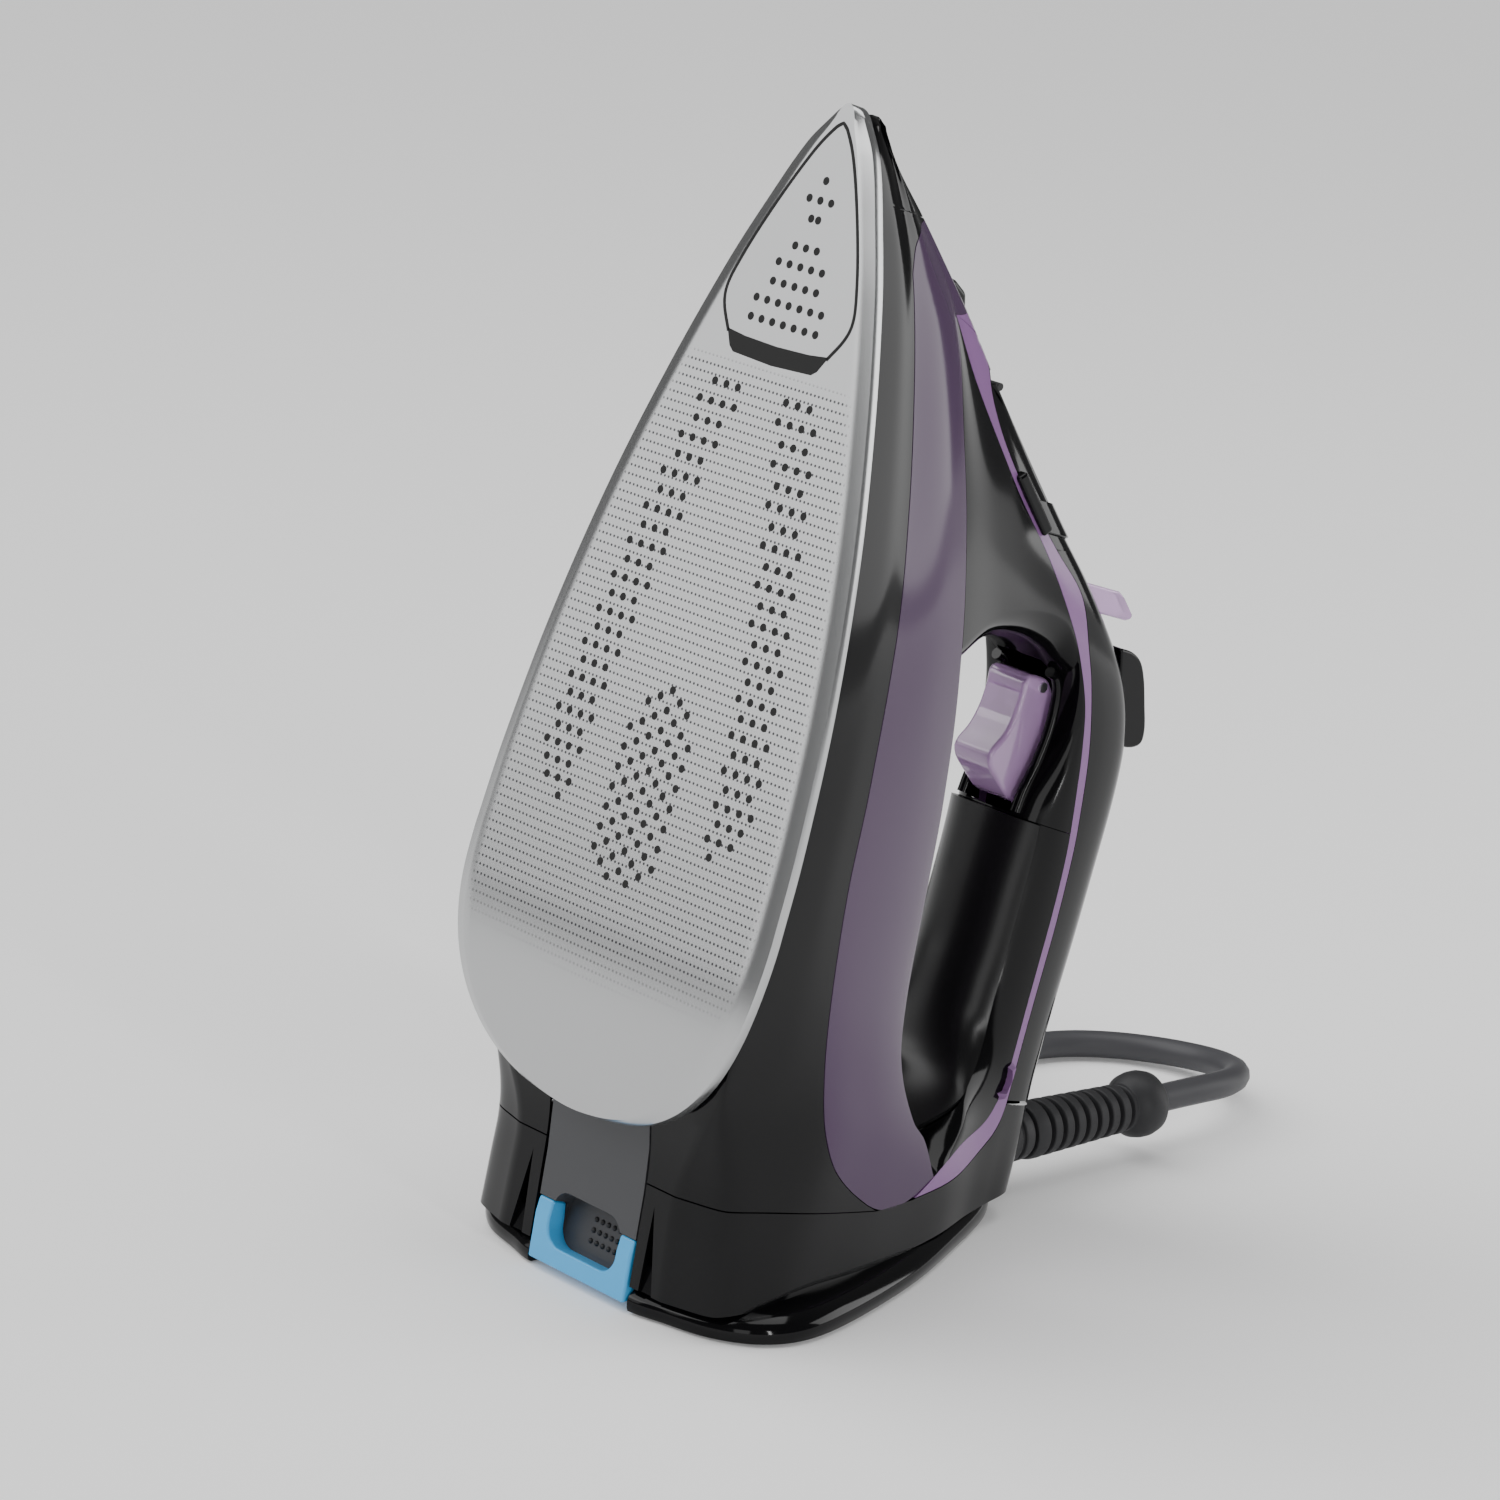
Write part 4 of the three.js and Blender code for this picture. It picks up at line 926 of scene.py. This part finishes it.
def make_grip():
    """The handle's finger side: a gloss frame next to the band and a satin insert inside it."""
    start = split_at(INNER, CHEEK_END)
    handle, turn_back = INNER[start::4], DECK[split_at(DECK, 246):][::-1][4::4]
    rows, columns, frame_columns = 150, 34, 13
    outer = curve(np.concatenate([handle, turn_back]), rows)
    share = np.linspace(0, 1, rows) * (len(handle) + len(turn_back)) / len(handle)
    grid = rolled(outer, curve(LOOP_REAR, rows), columns, 1 - smooth_step(share, 0.86, 1.04))
    frame_part = part_at(grid[:, :frame_columns + 1], rows=(0,), columns=(-1,))
    insert_part = part_at(grid[:, frame_columns:], rows=(0,), columns=(0,))
    grip_frame, insert = [cut(bake(shell(name, [part], edge=0)), trigger_pocket())
                          for name, part in (("grip_frame", frame_part), ("grip_insert", insert_part))]
    add_black(grip_frame)
    add_piece(insert, SATIN_BLACK, IRON, ["handle_grip"])


def make_band():
    start = ruled(nose_seam(8), ridge(RIDGE_SEAM_AT, COVER_START, 8), 14)
    count = 210
    rest = ruled(*[border(curve(line[::5], count)) for line in (INNER, OUTER)], 14)
    obj = shell("band_shell", [part_at(start, rows=(), columns=(0,)), part_at(rest, rows=(-1,))])
    add_piece(obj, BAND, IRON, ["handle_band"])


DOOR_HALF = 11.0
DOOR_START, DOOR_END = 58.0, 95.5
DOOR_GAP = 0.35
DOOR_SWING_GAP = 2.2        # room for the door's front edge, which turns ahead of its pin
TAB_OUTLINE = [(81, 87.4), (94.5, 105), (92, 107.6), (78.6, 90.2)]
TAB_LEFT, TAB_RIGHT = 12.2, 17.3


def width_place(s, half):
    """Where on the upper part of its section the body is half wide."""
    found = []
    for one in np.atleast_1d(s):
        v = BODY_V[BODY_V > 0.6]
        x = on_body(np.full_like(v, one), v)[:, 0]
        found.append(np.interp(-half, -np.minimum.accumulate(x), v))
    return np.array(found)


def make_cover():
    """The frame round the filler door: across the nose, then a cheek along each side of the door."""
    s = np.linspace(COVER_START, COVER_END, 60)
    outer = border(pairs(s, np.interp(s, *OUTER.T)))
    corner_room = DOOR_GAP + 1.8 * (1 - smooth_step(s, 61, 67))
    door = [width_place(one, DOOR_HALF + room)[0] for one, room in zip(s, corner_room)]
    door = np.maximum(door, outer[:, 1] + 0.004)
    mid = pairs(s, door)
    front = s <= DOOR_START - DOOR_SWING_GAP
    cheek = ruled(outer, mid, 8)
    brow = ruled(mid[front], pairs(s[front], 1.0), 14)
    obj = shell("filler_frame", [part_at(cheek, rows=(-1,), columns=(0,)), brow], edge=0.3, wall=1.0)
    add_black(obj, ["inlet_cover"])


def make_door():
    """The filler door: a long lens with a thumb tab at its lower end."""
    s = np.linspace(DOOR_START, DOOR_END, 46)
    grid = ruled(pairs(s, width_place(s, DOOR_HALF)), pairs(s, 1.0), 18)
    swell = np.sin(np.clip((s - DOOR_START) / (DOOR_END - DOOR_START), 0, 1) * math.pi)[:, None]
    grid[..., 2] += 0.9 * swell * np.sqrt(np.clip(1 - (grid[..., 0] / DOOR_HALF) ** 2, 0, 1))
    obj = shell("filler_door", [grid], edge=0.5, wall=2.4)
    add_black(obj, ["inlet_door"], "inlet_door")
    tab = slab("door_tab", TAB_OUTLINE, TAB_LEFT, TAB_RIGHT, 0.9)
    add_black(tab, body="inlet_door")


def make_tongue():
    """The strap over the cheek that joins the thumb tab to the door."""
    above_cheek = np.array([1.0, 0, 0.9])
    s = np.linspace(85, 93, 10)
    tab_middle = np.interp(s, *np.array(TAB_OUTLINE[:2]).T) + 2.0
    door_edge = pairs(s, width_place(s, DOOR_HALF - 0.8))
    grid = ruled(border(pairs(s, tab_middle)), door_edge, 14) + above_cheek
    tongue = shell("door_tongue", [grid], mirrored=False, wall=1.0, edge=0.25)
    add_black(tongue, body="inlet_door")


def make_spine():
    keep = (OUTER[:, 0] > COVER_END) & (OUTER[:, 0] < HEEL_TOP_AT) & (OUTER[:, 1] > 112)
    line = curve(OUTER[keep][::3], 120)
    top = line[:, 0] - 3.5 * (1 - smooth_step(line[:, 0], COVER_END, 125))
    grid = ruled(border(line), pairs(top, 1.0), 40)
    obj = shell("spine_shell", [part_at(grid, columns=(0,))], edge=0)
    bake(obj)
    lever_slot = [(101.5, 118), (113.5, 118), (113.5, 178), (101.5, 178)]
    button_seat = [(118.6, 140), (147.2, 140), (147.2, 190), (118.6, 190)]
    cut(obj, slab("slot", lever_slot, -7.5, 7.5))
    cut(obj, slab("seat", button_seat, -10.9, 10.9))
    add_black(obj, ["handle_spine"])


def table_s(y, height):
    """The station where y is height above the table."""
    return NOSE_HEIGHT - (height + y * SIN) / COS


def make_heel():
    """The heel: from the rim up to the seams, wrapped round the front corners and the back."""
    line = np.concatenate([[HEEL_SEAM_HIGH], OUTER[OUTER[:, 0] > HEEL_TOP_AT][::-1][2::3],
                           [[HEEL_TOP_AT, 159.5]]])
    high = np.concatenate([heel_seam(40), border(curve(line, 100))[1:]])
    across_top = np.linspace((HEEL_TOP_AT, high[-1, 1]), (HEEL_TOP_AT, 1), 31)[1:]
    high = np.concatenate([high, across_top])
    low_s = np.full(len(high), 325.0)
    for _ in range(8):          # settles where the body meets the rim
        low_s = table_s(on_body(low_s, high[:, 1])[:, 2], RIM_HEIGHT - 1.5)
    side = part_at(ruled(pairs(low_s, high[:, 1]), high, 30), rows=(), columns=(-1,))
    front = front_panel(side[0], BAY_HALF)
    bay_depth = 20.0
    wall = np.stack([front[0] + np.array([0, 0, bay_depth]), front[0]], axis=0)
    obj = shell("heel_shell", [side, front, wall], edge=0)
    bake(obj)
    for flip in (-1, 1):
        groove = [(flip * 24.5, 292), (flip * 29.5, 319), (flip * 23.6, 319)]
        cut(obj, front_prism("groove", groove, 18, 29.5))
    add_black(obj, ["heel_housing"])


# the right half of the foot's outline on the table: x, depth
FOOT_HALF = [(0, 31.6), (20.6, 31.6), (30, 34), (45, 38.5), (55.5, 47.5), (59.5, 61), (56, 82),
             (45, 116), (32.5, 144), (18, 172), (8, 182), (0, 185)]


def make_rim():
    """The flared foot that the iron stands on, with a bay for the drawer."""
    right = curve(FOOT_HALF, 90)
    outline = np.concatenate([right, (right * np.array([-1, 1]))[-2:0:-1]])
    middle = np.array([0.0, 95.0])
    steps = [(1.6, 0), (0.5, 0.5), (0.1, 1.6), (0, 3.4), (0.6, 4.8), (2.2, 6.2), (5.0, 7.4),
             (9.5, 8.4), (14, 8.8)]

    def ring(inset, height):
        reach = outline - middle
        size = np.linalg.norm(reach, axis=1, keepdims=True)
        flat = middle + reach / size * (size - inset)
        return np.concatenate([flat, np.full((len(flat), 1), height)], axis=1)

    def build(bm):
        rings = np.stack([ring(*step) for step in steps])
        rings = np.concatenate([rings, rings[:, :1]], axis=1)
        add_grid(bm, level(rings))
        close_mesh(bm, 1e-6)

    obj = mesh_object("foot_rim", build)
    cut(obj, slab("bay", [(-20, -5), (65, -5), (65, 30), (-20, 30)], -20.2, 20.2, to_world=level))
    add_black(obj, ["heel_rim"])


for make in (make_lower_housing, make_tank, make_deck, make_front_shell, make_bezel, make_grip, make_band,
             make_cover, make_door, make_tongue, make_spine, make_heel, make_rim):
    make()


# ---- drawer ----
DRAWER_TOP, DRAWER_FLOOR = 277.6, 3.0
LIP_TOP = 267.5
TRIM_TOP = 303.0
RECESS_HALF, RECESS_RADIUS, RECESS_FOOT = 13.5, 5.5, 315.0


def recess_outline(top, steps=8):
    """The finger recess as a rounded rectangle in x, s, as seen from the front."""
    x, low, high = RECESS_HALF - RECESS_RADIUS, RECESS_FOOT - RECESS_RADIUS, top + RECESS_RADIUS
    corners = [(x, low, 0), (-x, low, 90), (-x, high, 180), (x, high, 270)]
    return [(cx + RECESS_RADIUS * math.cos(math.radians(a + k * 90 / steps)),
             cs + RECESS_RADIUS * math.sin(math.radians(a + k * 90 / steps)))
            for cx, cs, a in corners for k in range(steps + 1)]


def make_drawer():
    def face(s):
        return float(along(STATIONS[:, [0, 1]], s)) + 0.3

    front = [(s, face(s)) for s in (LIP_TOP, DRAWER_TOP, 290, 300, 310)]
    foot = table_s(face(320), DRAWER_FLOOR)
    outline = [*front, (foot, face(foot)), (table_s(60, DRAWER_FLOOR), 60), (DRAWER_TOP, 60),
               (DRAWER_TOP, 27), (LIP_TOP, 22)]
    drawer = slab("drawer_panel", outline, -DRAWER_HALF, DRAWER_HALF)
    cut(drawer, front_prism("recess", recess_outline(299.5), 5, 33.5))
    cut(drawer, slab("trim_room", [(TRIM_TOP, 0), (335, 0), (335, 36.5), (TRIM_TOP, 32)], -30, 30))
    cut(drawer, slab("tray", [(270, 38), (300, 41), (318, 45), (318, 57), (270, 57)], -17, 17))
    soften(drawer, 1.6, 3, angle=40)
    add_piece(drawer, GREY, "calc_drawer", ["calc_drawer"])

    proud, inner = 1.0, 36.3
    trim_foot = table_s(face(321) - proud, DRAWER_FLOOR - 0.6)
    trim_outline = [(TRIM_TOP + 0.2, face(TRIM_TOP) - 0.1), (308, face(308) - proud),
                    (trim_foot, face(trim_foot) - proud), (table_s(inner, DRAWER_FLOOR), inner),
                    (TRIM_TOP + 0.2, 31.8)]
    trim = slab("drawer_trim_piece", trim_outline, -DRAWER_HALF, DRAWER_HALF)
    cut(trim, front_prism("recess", recess_outline(294), 5, 60))
    soften(trim, 0.8, 3, angle=40)
    add_piece(trim, BLUE, "calc_drawer", ["drawer_trim"])

    def build(bm):
        dot_radius, recess_floor = 0.8, 33.6
        for x in np.linspace(-2.5, 9.5, 6):
            for s in (304.2, 307.2, 310.2):
                made = bmesh.ops.create_uvsphere(bm, u_segments=12, v_segments=8, radius=dot_radius / 1000)
                bmesh.ops.translate(bm, vec=Vector(world((x, s, recess_floor))), verts=made["verts"])

    dots = mesh_object("drawer_grip_dots", build)
    add_piece(dots, MATT_BLACK, "calc_drawer")


make_drawer()


# ---- controls ----
def make_trigger():
    outline = curve([(132.6, 131), (133.4, 126.6), (139, 126.8), (145, 126.6), (151, 124.9), (155.5, 121.9),
                     (158.2, 121.4), (160.8, 123), (164.2, 127.8), (168, 134), (169, 139), (166.5, 144),
                     (158, 148), (147, 146), (139, 141.2), (133.4, 136.4), (132.6, 131)], 70)[:-1]
    trigger = slab("trigger_shell", outline, -TRIGGER_HALF, TRIGGER_HALF, 2.2, 4)
    add_piece(trigger, LILAC, "steam_trigger", ["steam_trigger"])


def make_nozzle():
    outline = [(34, 46.5), (35, 54), (37.3, 59.2), (42.2, 61), (43.6, 58), (41, 50)]
    nozzle = slab("nozzle_cap", outline, -5.3, 5.3, 1.8, 4)
    add_piece(nozzle, SATIN_BLACK, IRON, ["spray_nozzle"])


def make_lever():
    blade = slab("lever_blade", [(104, 129), (111.5, 131), (111.8, 164.5), (111.2, 166.6), (109.8, 167.2),
                                 (105.6, 161.6), (104.2, 158.6)], -4, 4, 1.0, 3)
    add_piece(blade, LILAC, "steam_lever", ["steam_lever"])


def make_button():
    outline = curve([(119.3, 159), (119.6, 165), (121.6, 169.6), (126, 173.2), (133, 176.9), (140, 180.2),
                     (144.4, 180.4), (146.3, 176.5), (146.5, 169.8)], 36)
    button = slab("button_cap", outline, -10, 10, 2.6, 5)
    add_black(button, ["spray_button"], "spray_button")


def make_dial():
    s, deck_slope = 220.0, 0.155
    normal = Vector(world((0, -deck_slope, 1)) - world((0, 0, 0)))
    foot = world((0, s, float(along(DECK_LINE, s)) + DECK_CROWN + 1.8))
    profile = [(0, 1.4), (15.4, 1.4), (16.4, 2.6), (16.5, 4.4), (16.1, 8), (15.2, 9.2), (13, 9.6),
               (11.6, 8.9), (0, 8.9)]
    dial = turned("dial_cap", profile, foot, normal)
    add_piece(dial, DIAL, "temperature_dial", ["temperature_dial"])


for make in (make_nozzle, make_trigger, make_lever, make_button, make_dial):
    make()


# ---- finishes of the CAD pieces that stay ----
KEPT = [
    (SATIN_BLACK, ["skirt_seal"]),
    (MATT_BLACK, ["inlet_neck", "inlet_door_pin", "cord_tie"]),
    (CAST, ["steam_chamber", "chamber_cover"]),
    (STEEL, ["heating_element", "thermostat", "trigger_pin", "trigger_spring", "lever_pin"]),
    (CERAMIC, ["thermal_fuse"]),
    (BRASS, ["drip_valve", "plug_pin_left", "plug_pin_right"]),
    (TANK, ["tank_floor"]),
]
for look, nodes in KEPT:
    for node in nodes:
        slots = frame["nodes"][node].data.materials
        slots.clear()
        slots.append(look)


# ---- room and light ----
def make_floor():
    ends = (-6.0, 6.0)
    corners = np.array([[(x, y, 0) for y in ends] for x in ends])
    floor = mesh_object("floor", lambda bm: add_grid(bm, corners))
    floor.location.z = -0.0005
    paper = finish("paper", (0.88, 0.88, 0.88), 0.9)
    shader = paper.node_tree.nodes["Principled BSDF"]
    shader.inputs["Emission Color"].default_value = (1, 1, 1, 1)
    shader.inputs["Emission Strength"].default_value = 0.12
    floor.data.materials.append(paper)


# soft boxes: place, target, size, all in metres, and radiance
SOFT_BOXES = {
    "front_box": ((-1.0, -1.3, 0.66), (0, 0, 0.2), (1.4, 0.9), 1.55),
    "right_box": ((1.5, -1.6, 0.62), (0, 0, 0.12), (0.7, 1.2), 2.2),
    "right_strip": ((1.75, -0.35, 0.5), (0, 0, 0.12), (0.12, 1.0), 22.0),
    "back_box": ((0.86, 1.8, 0.62), (0, 0, 0.15), (1.1, 1.0), 3.2),
    "top_box": ((0.15, 0.35, 1.7), (0, 0, 0.1), (0.9, 0.9), 3.0),
}


def area_light(name, place, target, size, radiance):
    data = bpy.data.lights.new(name, "AREA")
    data.shape, data.size, data.size_y = "RECTANGLE", size[0], size[1]
    data.energy = radiance * math.pi * size[0] * size[1]
    light = new_object(name, data)
    light.location = place
    light.rotation_euler = (Vector(target) - Vector(place)).to_track_quat("-Z", "Y").to_euler()


def make_light():
    sky = bpy.data.worlds.new("sky")
    sky.use_nodes = True
    background = sky.node_tree.nodes["Background"]
    background.inputs["Color"].default_value = (1, 1, 1, 1)
    background.inputs["Strength"].default_value = 0.16
    bpy.context.scene.world = sky
    sun = new_object("soft_sun", bpy.data.lights.new("soft_sun", "SUN"))
    sun.data.energy, sun.data.angle = 2.7, 1.1
    sun.rotation_euler = Vector((-0.45, -0.55, 1.0)).to_track_quat("Z", "Y").to_euler()
    for name, values in SOFT_BOXES.items():
        area_light(name, *values)


make_floor()
make_light()
